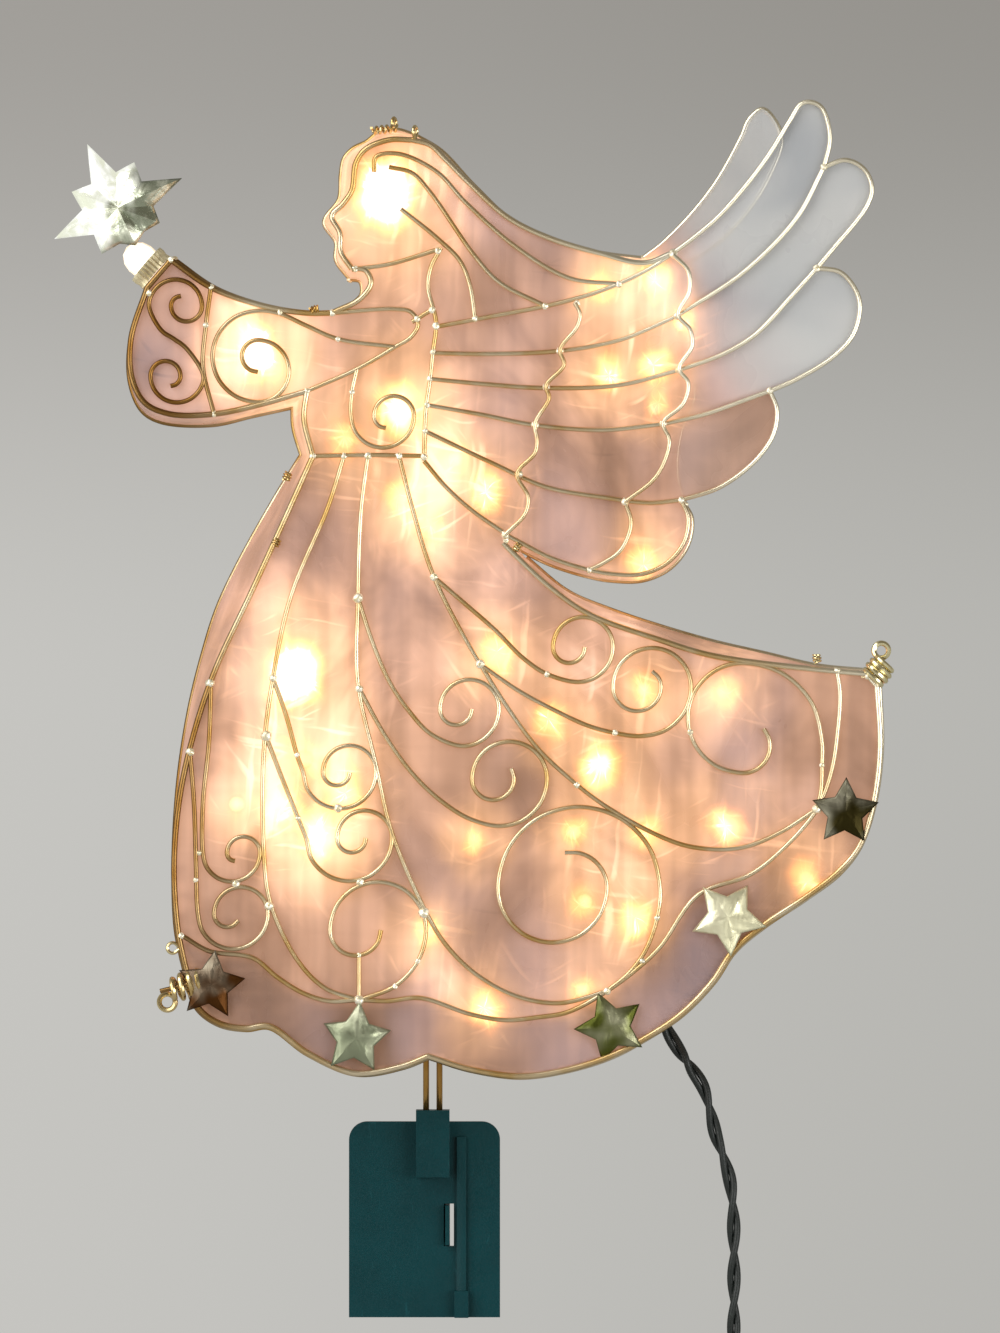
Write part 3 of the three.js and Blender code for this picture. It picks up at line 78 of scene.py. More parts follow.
# How finely things are divided: wires, string and band along their length, curls in degrees,
# holes round their edge, the band from front to back, and stars from middle to rim
WIRE_STEP = 0.8 * MM
STRING_STEP = 1.6 * MM
BAND_STEP = 1.6 * MM
CURL_STEP = 30
HOLE_SIDES = 20
BAND_ROWS = 8
STAR_RINGS = 9

# Points nearer than these are one: in a mesh, and where two stretches of wire meet
MERGED = 1e-6
DOUBLED = 0.1 * MM

# The film's inner points: how far apart their rows are and how clear of the edge, in steps
ROW_SHARE = 0.866
EDGE_SHARE = 0.6
CROWDED = 0.3

# How quickly the films' ripples and the foils' crumples follow each other, along x, y and z
FILM_RIPPLES = (45, 10, 30)
BAND_RIPPLES = (70, 55, 70)
CRUMPLES = 130

# The drawing of the front view: thousandths of its width, across from the left and down from the top.
# The figure is this tall in m, and takes up this share of the width
FIGURE_HEIGHT = 0.318
FIGURE_SHARE = 0.978
DRAWING_WIDTH = FIGURE_HEIGHT / FIGURE_SHARE
DRAWING_MIDDLE = (500, 666.5)
DRAWING_SHAPE = 1.333
GRIP_ACROSS = 397
GRIP_DOWN = 1226


def across(places):
    return (places - GRIP_ACROSS) / 1000 * DRAWING_WIDTH


def up(places):
    return (GRIP_DOWN - places) / 1000 * DRAWING_WIDTH


def depth_of(node):
    """How far forward the middle of a node lies."""
    low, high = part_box(node)
    return (low[1] + high[1]) / 2


FRONT_FILM_Y = depth_of("front_film")
BACK_FILM_Y = depth_of("back_film")
SCALLOP_Y = depth_of("scallop_middle")
FRONT_WIRE_Y = FRONT_FILM_Y - 1.55 * MM
BACK_WIRE_Y = depth_of("stand_wire") - 2.3 * MM
LANTERN_Y = (FRONT_WIRE_Y + BACK_WIRE_Y) / 2
CLASP_Y = FRONT_WIRE_Y + 0.9 * MM
STAR_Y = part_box("hem_star_1")[1][1] - 0.5 * MM

FACE = (
    (412, 140), (389, 140), (366, 149), (356, 163), (352, 190), (343, 204), (332, 216), (340, 233),
    (341, 252), (352, 269),
)
NECK = ((352, 269), (365, 270), (371, 283), (360, 299), (332, 313))
SLEEVE_TOP = ((332, 313), (306, 313), (264, 306), (212, 288), (171, 260))
SLEEVE_END = ((171, 260), (147, 288))
SLEEVE_UNDER = (
    (147, 288), (131, 339), (132, 378), (145, 403), (170, 414), (214, 414), (262, 404), (307, 391),
)
BODICE_SIDE = ((307, 391), (304, 418), (313, 456))
SKIRT_SIDE = (
    (313, 456), (288, 512), (252, 591), (212, 678), (188, 756), (178, 810), (174, 870), (178, 930),
    (184, 961),
)
HEM_LEFT = (
    (184, 961), (198, 1007), (219, 1023), (245, 1028), (269, 1026), (308, 1053), (355, 1073),
    (402, 1066), (428, 1056),
)
HEM_RIGHT = (
    (428, 1056), (470, 1069), (520, 1076), (565, 1070), (610, 1056), (645, 1038), (681, 1014),
    (712, 982), (733, 951), (765, 924), (807, 896), (838, 872), (859, 847), (873, 805), (880, 750),
    (877, 686),
)
SKIRT_TOP = (
    (866, 674), (821, 670), (744, 661), (705, 654), (660, 640), (589, 614), (551, 588), (516, 556),
    (503, 543),
)
WING_UNDER = (
    (512, 538), (551, 558), (589, 570), (611, 574), (642, 574), (667, 563), (684, 542), (688, 517),
    (681, 500),
)
HAIR_TOP = (
    (673, 253), (644, 263), (598, 253), (549, 238), (507, 217), (466, 180), (444, 158), (430, 145),
    (412, 140),
)
BACK_FACE = (
    (415, 131), (395, 125), (379, 127), (366, 137), (352, 144), (343, 154), (340, 170), (338, 195),
    (323, 218), (335, 238), (335, 256), (349, 275),
)
BACK_NECK = ((349, 275), (359, 277), (361, 290), (352, 300), (332, 310))
BACK_SLEEVE_TOP = ((332, 310), (306, 310), (264, 303), (213, 285), (171, 256))
BACK_SLEEVE_END = ((171, 256), (143, 287))
BACK_SLEEVE_UNDER = (
    (143, 287), (127, 339), (127, 380), (139, 408), (158, 419), (209, 422), (250, 413), (291, 404),
)
BACK_BODICE = ((291, 404), (292, 425), (300, 453))
BACK_SKIRT_SIDE = (
    (300, 453), (277, 490), (235, 565), (215, 608), (201, 652), (187, 709), (176, 780), (171, 860),
    (173, 930), (179, 962),
)
BACK_HEM_LEFT = (
    (179, 962), (193, 1010), (216, 1028), (244, 1033), (267, 1031), (306, 1058), (355, 1078),
    (403, 1071), (428, 1061),
)
BACK_HEM_RIGHT = (
    (428, 1061), (470, 1074), (520, 1081), (566, 1075), (612, 1061), (648, 1042), (684, 1018),
    (716, 985), (737, 954), (768, 928), (810, 900), (842, 876), (863, 849), (878, 805), (885, 750),
    (883, 686),
)
BACK_SKIRT_TOP = (
    (870, 671), (820, 666), (768, 654), (716, 642), (667, 628), (610, 609), (568, 591), (526, 557),
)
BACK_WING_UNDER = (
    (518, 547), (551, 563), (589, 575), (611, 579), (644, 579), (671, 567), (689, 544), (693, 517),
    (686, 503),
)
BACK_FEATHER = (
    (690, 258), (720, 238), (750, 206), (772, 170), (784, 135), (777, 115), (765, 104), (752, 114),
    (744, 132), (721, 174), (697, 206), (666, 238), (644, 255),
)
BACK_HAIR_TOP = ((644, 255), (605, 250), (565, 241), (516, 220), (474, 182), (440, 146), (415, 131))
BACK_HAIR_EDGE = ((690, 258), (666, 252), *BACK_HAIR_TOP)
MIDDLE_SCALLOP = (
    (673, 255), (688, 271), (689, 292), (678, 315), (690, 330), (692, 346), (679, 369), (688, 383),
    (683, 404), (663, 423), (669, 439), (667, 454), (655, 478), (625, 502),
)
INNER_SCALLOP = (
    (575, 303), (580, 314), (577, 327), (560, 350), (564, 365), (546, 386), (549, 398), (535, 424),
    (537, 440), (535, 453), (517, 474), (528, 497), (525, 514), (505, 535),
)
WING_EDGE = ((681, 500), (668, 470), (672, 430), (686, 395), (682, 340), (686, 285), (673, 253))
BACK_WING_EDGE = (
    (686, 503), (678, 470), (682, 430), (695, 395), (691, 340), (696, 285), (690, 258),
)
FEATHER_2 = (
    (824, 167), (830, 137), (822, 108), (811, 102), (801, 104), (789, 122), (768, 156), (744, 188),
    (718, 217), (692, 239), (673, 253),
)
FEATHER_3 = ((817, 268), (834, 248), (867, 206), (872, 187), (864, 169), (846, 160), (824, 167))
FEATHER_4 = (
    (770, 391), (797, 379), (833, 357), (853, 335), (860, 305), (854, 287), (840, 272), (817, 268),
)
FEATHER_5 = ((681, 500), (720, 487), (756, 460), (773, 435), (777, 410), (770, 391))
FEATHER_3_ROOT = ((824, 167), (796, 219), (744, 272), (677, 316))
FEATHER_4_ROOT = ((817, 268), (791, 297), (756, 334), (723, 354), (679, 370))
FEATHER_5_ROOT = ((770, 391), (740, 402), (706, 414), (663, 424))
FEATHER_6_ROOT = ((681, 500), (650, 503), (620, 500))
INNER_FEATHER = ((625, 502), (631, 523), (621, 550), (605, 562), (589, 570))
WING_RIBS = (
    ((435, 327), (494, 316), (555, 304), (603, 290), (649, 269), (673, 253)),
    ((433, 353), (483, 354), (559, 351), (620, 340), (677, 316)),
    ((430, 379), (483, 384), (544, 388), (620, 385), (679, 370)),
    ((427, 405), (483, 415), (534, 425), (603, 430), (663, 424)),
    ((425, 431), (494, 464), (546, 487), (620, 500)),
    ((424, 461), (447, 488), (473, 511), (512, 538)),
)
WING_ROOT = (
    (441, 248), (431, 267), (428, 287), (436, 322), (433, 352), (430, 381), (426, 409), (424, 461),
)
JAW = ((355, 269), (390, 264), (436, 250))
HAIR_STRANDS = (
    (
        (374, 172), (376, 157), (399, 154), (437, 172), (466, 203), (516, 247), (569, 278),
        (619, 284),
    ),
    ((389, 167), (412, 173), (430, 192), (474, 255), (499, 282), (545, 306)),
    ((401, 209), (437, 238), (460, 261), (470, 286), (475, 319)),
)
SLEEVE_CUFF = (
    (332, 313), (395, 309), (411, 312), (418, 324), (411, 337), (395, 347), (357, 369), (307, 391),
)
SHOULDER_TIE = ((412, 322), (431, 310))
SLEEVE_DIVIDER = ((211, 287), (206, 325), (203, 367), (214, 414))
SLEEVE_BEND = ((161, 330), (174, 339), (186, 348))
WAIST = ((313, 456), (366, 455), (424, 456))
CLASP_STEMS = (((871, 679), (887, 663.5)), ((189, 984), (160, 991.2)))
RIB_1 = (
    (344, 456), (328, 507), (291, 596), (273, 678), (264, 750), (264, 856), (271, 905), (298, 961),
    (325, 988), (359, 1000),
)
RIB_2 = (
    (368, 456), (361, 512), (358, 598), (358, 683), (376, 765), (392, 833), (426, 912), (446, 945),
    (477, 975), (516, 996), (560, 1003), (607, 991),
)
RIB_3 = (
    (399, 456), (412, 507), (434, 577), (480, 664), (535, 745), (568, 777), (610, 809), (674, 842),
    (709, 849), (744, 847), (779, 833), (817, 809),
)
STAR_POST = ((359, 954), (359, 1000))
INNER_HEM = (
    (837, 671), (840, 693), (838, 728), (831, 773), (817, 809), (786, 846), (751, 874), (698, 895),
    (660, 947), (638, 968), (607, 991), (568, 1012), (540, 1017), (505, 1020), (470, 1014),
    (421, 998), (387, 1001), (359, 1000), (329, 1001), (303, 993), (277, 977), (253, 958),
    (209, 951), (183, 936),
)

# Places where wires meet and a drop of solder holds them, with the drop's size in tenths of a mm
JOINTS = (
    (358, 598, 17), (359, 689, 14), (273, 678, 14), (266, 736, 19), (210, 683, 15),
    (190, 752, 15), (434, 577, 14), (480, 664, 16), (338, 808, 16), (360, 882, 13),
    (269, 906, 16), (424, 913, 19), (236, 884, 13), (359, 1000, 17), (817, 809, 17),
    (607, 991, 13), (547, 674, 11), (615, 733, 11), (344, 456, 11), (368, 456, 13),
    (399, 456, 13), (424, 457, 13), (313, 456, 12), (352, 392, 11), (417, 319, 12),
    (432, 310, 13), (436, 326, 13), (433, 352, 11), (430, 379, 11), (427, 405, 11),
    (425, 431, 11), (355, 269, 12), (438, 251, 12), (332, 313, 12), (307, 391, 12),
    (211, 287, 11), (214, 414, 11), (280, 312, 11), (338, 339, 10), (206, 325, 11),
    (171, 260, 12), (149, 293, 12), (673, 253, 14), (619, 284, 12), (545, 306, 12),
    (475, 319, 11), (824, 167, 12), (817, 268, 12), (770, 391, 12), (681, 500, 12),
    (625, 501, 12), (589, 570, 11), (506, 540, 11), (868, 676, 12), (506, 539, 11),
    (837, 671, 12), (642, 961, 11), (657, 918, 10), (822, 765, 10), (418, 961, 10),
    (395, 986, 10), (181, 936, 12), (199, 853, 9), (196, 880, 9), (297, 755, 10), (298, 818, 10),
    (577, 785, 11), (690, 732, 11), (359, 955, 10),
)
SCALLOP_JOINTS = (
    (673, 255, 12), (677, 316, 13), (679, 370, 13), (663, 424, 13), (625, 502, 13), (577, 304, 12),
    (560, 351, 13), (546, 387, 13), (535, 425, 13), (519, 474, 13), (505, 535, 13),
)

# Scrolls: the stem that each grows from, then where its curl starts, its heading in degrees,
# the side that it turns to, and its bends, each a radius and the degrees that it sweeps
SCROLLS = {
    "sleeve_upper": ((), (149, 306), 90, -1, ((26.5, 180), (15.5, 180), (10, 90))),
    "sleeve_lower": ((), (203.5, 376), -90, -1, ((26.5, 180), (15, 180), (10, 90))),
    "sleeve": (
        ((395, 347), (338, 339), (305, 325), (280, 314)),
        (258, 311), 180, 1, ((45.5, 180), (31, 180), (16, 180))),
    "bodice": (((357, 369), (352, 392)), (351, 416), -90, 1, ((31.5, 180), (20, 180), (12, 90))),
    "side_upper": (
        ((211, 680), (209, 742), (203, 803)),
        (203, 853), -90, 1, ((28.5, 180), (16.5, 180), (8, 90))),
    "side_lower": (
        ((190, 752), (194, 803), (196, 864)),
        (198, 914), -90, 1, ((35, 180), (27, 180), (13, 150))),
    "rib_1_stem_1": (
        ((273, 678), (286, 715), (297, 755)),
        (303, 772), -90, 1, ((36.5, 180), (26.5, 180), (13.5, 180))),
    "rib_1_stem_2": (
        ((266, 736), (282, 778), (298, 818)),
        (306, 838), -90, 1, ((43, 180), (27.5, 180), (14.5, 180))),
    "rib_1_stem_3": (
        ((359, 1000), (395, 986), (418, 961)),
        (426, 930), 90, 1, ((48, 180), (25.5, 180))),
    "rib_2_stem_1": (
        ((358, 598), (372, 641), (389, 681), (409, 711), (431, 734)),
        (462, 746), 0, 1, ((37, 90), (29.5, 180), (16, 180))),
    "rib_2_stem_2": (
        ((360, 690), (384, 734), (412, 773), (440, 800), (470, 819)),
        (500, 826), 0, 1, ((47, 90), (37.5, 180), (21, 210))),
    "rib_2_stem_3": (
        ((607, 991), (628, 974), (645, 951), (657, 918)),
        (660, 888), 90, 1, ((81, 180), (54.5, 180), (36, 100))),
    "rib_3_stem_1": (
        ((434, 577), (463, 602), (495, 630), (523, 658), (547, 674)),
        (578, 682), 0, 1, ((35, 90), (30, 180), (16, 180))),
    "rib_3_stem_2": (
        ((480, 664), (519, 691), (554, 710), (589, 726), (615, 733)),
        (642, 736), 0, 1, ((49, 90), (39, 180), (24, 180), (18, 60))),
    "rib_3_stem_3": (
        ((817, 809), (821, 790), (822, 765)),
        (822, 742), 90, 1, ((79, 90), (55, 180), (27, 130))),
}

# Lamps of the string, in its order: across, down, how far each lights the film, and how strongly
LAMPS = (
    (254, 342, 36, 1.0), (262, 362, 36, 1.0), (345, 440, 30, 0.85), (400, 412, 42, 1.1),
    (385, 193, 52, 1.35), (603, 286, 24, 0.85), (655, 277, 30, 1.0), (684, 322, 24, 0.85),
    (655, 366, 30, 1.0), (607, 372, 27, 1.0), (657, 406, 22, 0.8), (640, 562, 28, 0.95),
    (486, 490, 31, 1.0), (455, 458, 26, 0.85), (400, 496, 32, 0.9), (430, 525, 30, 0.85),
    (295, 675, 47, 1.35), (303, 760, 36, 0.75), (235, 805, 24, 0.6), (280, 806, 36, 0.95),
    (318, 834, 37, 1.05), (345, 790, 38, 1.0), (427, 934, 26, 0.85), (475, 842, 24, 0.85),
    (497, 655, 30, 0.95), (550, 722, 28, 0.95), (600, 766, 34, 1.1), (645, 690, 27, 0.85),
    (725, 692, 27, 0.8), (725, 828, 32, 1.05), (808, 880, 30, 1.0), (647, 832, 28, 0.95),
    (574, 833, 24, 0.85), (585, 903, 27, 0.85), (484, 1010, 29, 1.0), (583, 992, 24, 0.8),
    (635, 920, 29, 1.0),
)
CAD_LAMPS = 12

# Where the film gathers more of the lamps' light, or less: across, down, reach, strength
FILM_SHARES = (
    (600, 640, 85, 1.5), (500, 585, 75, 1.1), (425, 700, 75, 0.6), (240, 640, 50, -0.7),
    (450, 905, 80, -0.7), (550, 800, 75, -0.7), (625, 450, 70, -0.5), (560, 260, 60, -0.6),
    (150, 365, 48, -1.0), (352, 875, 48, -1.0), (690, 975, 60, -0.8), (395, 275, 36, 0.5),
)

# The lamps' light as the film shows it: how far out its three parts reach, in each lamp's own reach,
# what a distance up or down counts against one across, and how far the light's edge wanders
WIDE_LIGHT = 3.2
CLOSE_LIGHT = 2.3
NEAR_LIGHT = 1.35
LIGHT_SQUEEZE = 0.85
WOBBLE = 3.5 * MM

# The hem's shade: the height at which it starts, the height over which it grows, and its edge
HEM_SHADE_TOP = 0.17
HEM_SHADE_FADE = 0.08
HEM_SHADE_EDGE = 3 * MM

# How strongly each part of the light shows in the film: the wide light evenly, the wide and the close
# light on creases, the near light with its rays, and stray spots. Then how far the hem takes the
# wide and the near light away
WIDE_GAIN = 0.19
CREASE_WIDE_GAIN = 0.14
CREASE_CLOSE_GAIN = 0.12
NEAR_GAIN = 1.05
RAY_GAIN = 0.45
SPOT_GAIN = 0.45
HEM_DARK = 0.5
HEM_DIM = 0.3

# The outer feathers: the shares of across and up in how far out a place lies, then where their
# colour, their want of light and their paleness start and end, and the line above which they lie.
# Their colour is the film's own tone with a painted reflection of the room, and their paleness,
# which grows outward, is that painted reflection
OUTWARD_SHARES = (0.86, 0.5)
TIPS_COLOURED = (0.212, 0.23)
TIPS_UNLIT = (0.224, 0.254)
TIPS_REFLECTION = (0.218, 0.262)
TIPS_LEAN = 0.308
TIPS_ABOVE = (0.2325, 0.2365)

# Where a painted highlight turns the gold wire pale on the feathers, and where painted shade darkens
# it at the skirt's left
GOLD_HIGHLIGHT = (0.19, 0.25)
GOLD_SHADED = (-0.04, -0.072)

# The film's other colours: amber light, its cool clouds, and the feathers' roots and clouds
AMBER = "#ffb850"
COOL = "#b9a9b6"
FEATHER_ROOT = "#b59a98"
FEATHER_CLOUD = "#bcc0c6"

# The room, by direction: where its grey turns from low to high and darker to the right, both painted
# shade on the paper, the colour that shines back from the camera's side, and the stretch of floor
# that turns from lit to paper
GREY_RISES = (-0.005, 0.078)
GREY_ASIDE = (-0.07, 0.08)
CAMERA_SIDE = (-0.5, 0.2)
CAMERA_SIDE_COLOUR = "#6e6658"
FLOOR_UNLIT = (-0.3, -0.9)

# The colours of the film's glow, from dark to bright, and the strength that counts as full: round
# the lamps, and at them
WARM_FULL = 1.3
HOT_FULL = 1.4
WARM_GLOW = (
    (0.0, "#000000"), (0.12, "#6c4a31"), (0.3, "#b08264"), (0.48, "#e0aa88"), (0.7, "#fcd2b0"),
    (1.0, "#fff0dc"),
)
HOT_GLOW = (
    (0.0, "#000000"), (0.09, "#3a1a06"), (0.26, "#8f4f17"), (0.5, "#e9a345"), (0.74, "#ffe08c"),
    (0.95, "#ffffff"),
)

# Creases of the film that catch light: their heading, how drawn out they are, their scale, and
# where in the noise they start
CRINKLES = (
    ((0.9, 0.43), 0.13, 420, 0.46), ((0.6, -0.8), 0.16, 360, 0.5),
    ((0.985, -0.17), 0.08, 460, 0.4), ((0.1, 0.995), 0.07, 320, 0.4),
)

# Stars of the hem: across, down, radius in mm, heading in degrees, foil colour, each arm's bend back.
# Each foil colour is the star's own tone with a painted reflection of its surroundings, which makes
# some stars dark
HEM_STARS = (
    (211, 985, 11.6, 83, "#46280a", (0, 12, 8, 5, 14)),
    (356, 1038, 12.2, 84, "#868c72", (6, 26, 0, 12, 24)),
    (611, 1027, 12.2, 111, "#50551f", (10, 4, 26, 8, 16)),
    (728, 917, 12.9, 58, "#e4e0bc", (26, 4, 18, 2, 8)),
    (845, 812, 11.4, 88, "#2e280c", (4, 8, 0, 6, 4)),
)
HEM_VALLEY = 0.52  # of the radius, between two arms
FOIL = 0.25 * MM  # its thickness

# The wand: its star's middle, heading, 16 radii in mm and each arm's bend, the spot in the star's
# middle that the painted glow leaves out, and where its lamp starts and points to
WAND_MIDDLE = (117, 207)
WAND_HEADING = 25.6
WAND_RADII = (23.4, 11.6, 16, 11.6, 23.4, 11.6, 16, 11.6, 23.4, 11.6, 16, 11.6, 13.5, 11.6, 14.5, 11.6)
WAND_FOLDS = (8, 14, 0, 10, 6, 16, 0, 12)
WAND_UNLIT_MIDDLE = (118, 214)
WAND_BASE = (155, 271)
WAND_TIP = (121, 242)

# Turned forms. The glasses: shares of their radius, and heights in mm or as shares of their length.
# The cuff: radii and heights in mm
WAND_GLASS_RADIUS = 5.4 * MM
WAND_GLASS = ((0, 0), (0.9, 0), (1, 0.8), (0.97, 4), (1, 7.2), (0.86, 10), (0.5, 12.2), (0, 13))
WAND_CUFF = ((6.0, 0), (6.5, 0), (6.2, 1.6), (6.6, 3), (6.5, 4.6), (6.0, 4.6), (5.9, 2), (6.0, 0))
CUFF_FLUTES = 0.55 * MM
LAMP_GLASS = (
    (0, 0), (0.8, 0), (0.98, 0.25), (1, 0.5), (0.8, 0.72), (0.4, 0.88), (0.16, 0.95), (0, 1),
)

# A lamp's socket: one of its four ribs, as shares of its radius and heights in mm, and its flange
SOCKET_RIBS = 4
RIB_PITCH = 1.5
SOCKET_RIB = ((1, 0), (0.93, 0.3), (0.93, 0.8), (1, 1.1))
FLANGE_SHARE = 1.43
FLANGE = 1.2 * MM
FLANGE_BACK = 0.55 * MM
HOLE_RADIUS = 3.8 * MM
CLEARANCE = 0.3 * MM

# The string: how deep it lies, its sag between lamps, and its wires' turn in radians at each station
STRING_Y = -14.9 * MM
STRING_SAG = 2 * MM
STRING_TURN = 0.45

# Windings: how much narrower their ends are than their middle, and the ring at the end, half of
# its stations and how far back each lies in the winding's radius
TAPER = 0.2
RING_HALF = 17
RING_DRIFT = 0.02

# Clasps: their radius and how much wider they are across, then each one's start and end, its pitch
# and its ring's radius in mm, and how far back it lies
CLASP_RADIUS = 2.7 * MM
CLASP_BREADTH = 1.45
CLASPS = {
    "clasp_right": ((871, 681), (885, 662), 1.9, 2.4, 0),
    "clasp_left": ((204, 979), (170, 991), 2.8, 2.6, -0.6),
}

# The wound wire on the head: its ends, its radius, pitch and the wire's own radius
HEAD_WINDING = ((371, 128), (401, 125))
HEAD_RADIUS = 1.15 * MM
HEAD_PITCH = 1.7 * MM
HEAD_WIRE = 0.5 * MM

# Wire eyes: where they stand, their heading and lean in degrees, and whether on the back frame
WIRE_EYES = (((415, 139), 90, 70, False), ((180, 948), 180, 0, False), ((393, 125), 90, 70, True))
EYE_RADIUS = 1.7 * MM
EYE_REACH = 2.4 * MM
EYE_WIRE = 0.55 * MM

# Bits of tie wire twisted round the edges: where they are and their lean in degrees
EDGE_TIES = ((314, 310, 20), (287, 477, 70), (276, 543, 65), (817, 659, 100), (517, 548, 60))
TIE_LENGTH = 3.2 * MM
TIE_START = 1.2 * MM
TIE_RADIUS = 1.25 * MM
TIE_PITCH = 0.9 * MM
TIE_WIRE = 0.35 * MM

# Moulded and turned pieces: how far their edges are rounded in mm, and the body that carries them
CLAMP_PIECES = {"clamp_plate": (0.5, "topper"), "clamp_strap": (0.4, "strap")}
PLUG_PIECES = {
    "splice": (0.7, "topper"), "strain_relief": (0.3, "topper"), "coil_tie": (0.3, "topper"),
    "plug": (0.8, "topper"), "fuse_cover": (0.25, "fuse_door"),
}

# Soft boxes: place in m, turn in degrees, width, height, and share of the side light's power
SOFT_BOXES = {
    "Left soft box": ((-1.15, -1.2, 0.35), (85, 0, -44), 1.5, 1.0, 0.72),
    "Right soft box": ((1.2, -1.2, 0.0), (94, 0, 45), 1.3, 0.8, 1.0),
    "High soft box": ((-1.0, -1.2, 1.4), (50, 0, -40), 1.4, 0.8, 0.9),
}

# The floor's left, right, front and back edge in m, and the width of the camera's sensor in mm
FLOOR_EDGES = (-3, 3, -3, 1.4)
SENSOR = 36

# The lead's route from the splice to the coil, in mm
LEAD_ROUTE = (
    (86.8, -14.2, 69.2), (86.8, -14.2, 67.2), (88.4, -14.2, 62.6), (92, -14.2, 56.3),
    (96.2, -14.2, 50.1), (100.2, -14.2, 43.7), (102.7, -14.2, 35.4), (104.5, -14.2, 27.6),
    (107, -14.2, 20.6), (109, -14.2, 13.3), (110.1, -14.2, 3.6), (110.4, -14.2, -8),
    (110.4, -14.2, -20), (110.4, -14.2, -32), (110.4, -14.2, -44), (110.4, -14.2, -57),
    (110.4, -14.2, -70.7),
)
TAIL = ((115.9, -8.7, -75.3), (115.9, -8.7, -92), (115.9, -8.7, -109.3))
LEAD_STEP = 1.3 * MM

# The coil, in mm: three turns go back, and three more come forward outside them
COIL_MIDDLE = (88.15, -8.7, -73.0)
COIL_TURNS = 6
COIL_STEPS = 20
COIL_PITCH = 5.5
COIL_RADIUS = 22.25

# The strands: the turn they start at, in half turns, and how much further apart they lie, how far
# along the lead, and over what length
STRANDS_START = 0.32
OPENING = 0.62
OPENING_AT = 19.5 * MM
OPENING_LENGTH = 4.5 * MM


def tint(code):
    """The scene colour of a web colour, with full opacity."""
    shares = [int(code[i:i + 2], 16) / 255 for i in (1, 3, 5)]
    return (*[s / 12.92 if s <= 0.04045 else ((s + 0.055) / 1.055) ** 2.4 for s in shares], 1.0)


def place(point, y):
    return Vector((across(point[0]), y, up(point[1])))


def spline(points, step):
    """Stations about a step apart on a smooth curve through the points."""
    points = [Vector(p) for p in points]
    chain = [points[0] * 2 - points[1], *points, points[-1] * 2 - points[-2]]
    stations = [points[0].copy()]
    for a, b, c, d in zip(chain, chain[1:], chain[2:], chain[3:]):
        before, here, after = ((q - p).length ** 0.5 for p, q in ((a, b), (b, c), (c, d)))
        before = before or here
        after = after or here
        leave = ((b - a) / before - (c - a) / (before + here) + (c - b) / here) * here
        arrive = ((c - b) / here - (d - b) / (here + after) + (d - c) / after) * here
        count = max(1, math.ceil((c - b).length / step))
        for k in range(1, count + 1):
            t = k / count
            stations.append(
                b * (2 * t**3 - 3 * t**2 + 1) + leave * (t**3 - 2 * t**2 + t)
                + c * (3 * t**2 - 2 * t**3) + arrive * (t**3 - t**2)
            )
    return stations


def chained(stretches, y, step):
    """The stations of stretches that follow each other, without their doubled ends."""
    stations = []
    for stretch in stretches:
        line = spline([place(p, y) for p in stretch], step)
        stations += [p for p in line if not stations or (p - stations[-1]).length > DOUBLED]
    return stations


def scroll(name):
    """Places along a scroll: its stem, then its curl, each bend turning on from the last."""
    stem, (x, y), heading, side, bends = SCROLLS[name]
    angle = math.radians(heading)
    places = [*stem, (x, y)]
    for radius, sweep in bends:
        to_middle = angle + side * math.pi / 2
        middle = (x + radius * math.cos(to_middle), y - radius * math.sin(to_middle))
        steps = math.ceil(sweep / CURL_STEP)
        for k in range(1, steps + 1):
            turned = to_middle + math.pi + side * math.radians(sweep * k / steps)
            x = middle[0] + radius * math.cos(turned)
            y = middle[1] - radius * math.sin(turned)
            places.append((x, y))
        angle += side * math.radians(sweep)
    return places


class Value:
    """A number inside a material or a node tree, on which arithmetic adds Math nodes."""

    def __init__(self, tree, socket):
        self.tree = tree
        self.socket = socket

    def maths(self, operation, *values):
        return self.tree.node("ShaderNodeMath", {"operation": operation}, dict(enumerate(values)))

    def __add__(self, other):
        return self.maths("ADD", self, other)

    def __radd__(self, other):
        return self.maths("ADD", other, self)

    def __sub__(self, other):
        return self.maths("SUBTRACT", self, other)

    def __rsub__(self, other):
        return self.maths("SUBTRACT", other, self)

    def __mul__(self, other):
        return self.maths("MULTIPLY", self, other)

    def __truediv__(self, other):
        return self.maths("DIVIDE", self, other)

    def clamped(self):
        return self.maths("MINIMUM", self.maths("MAXIMUM", self, 0), 1)


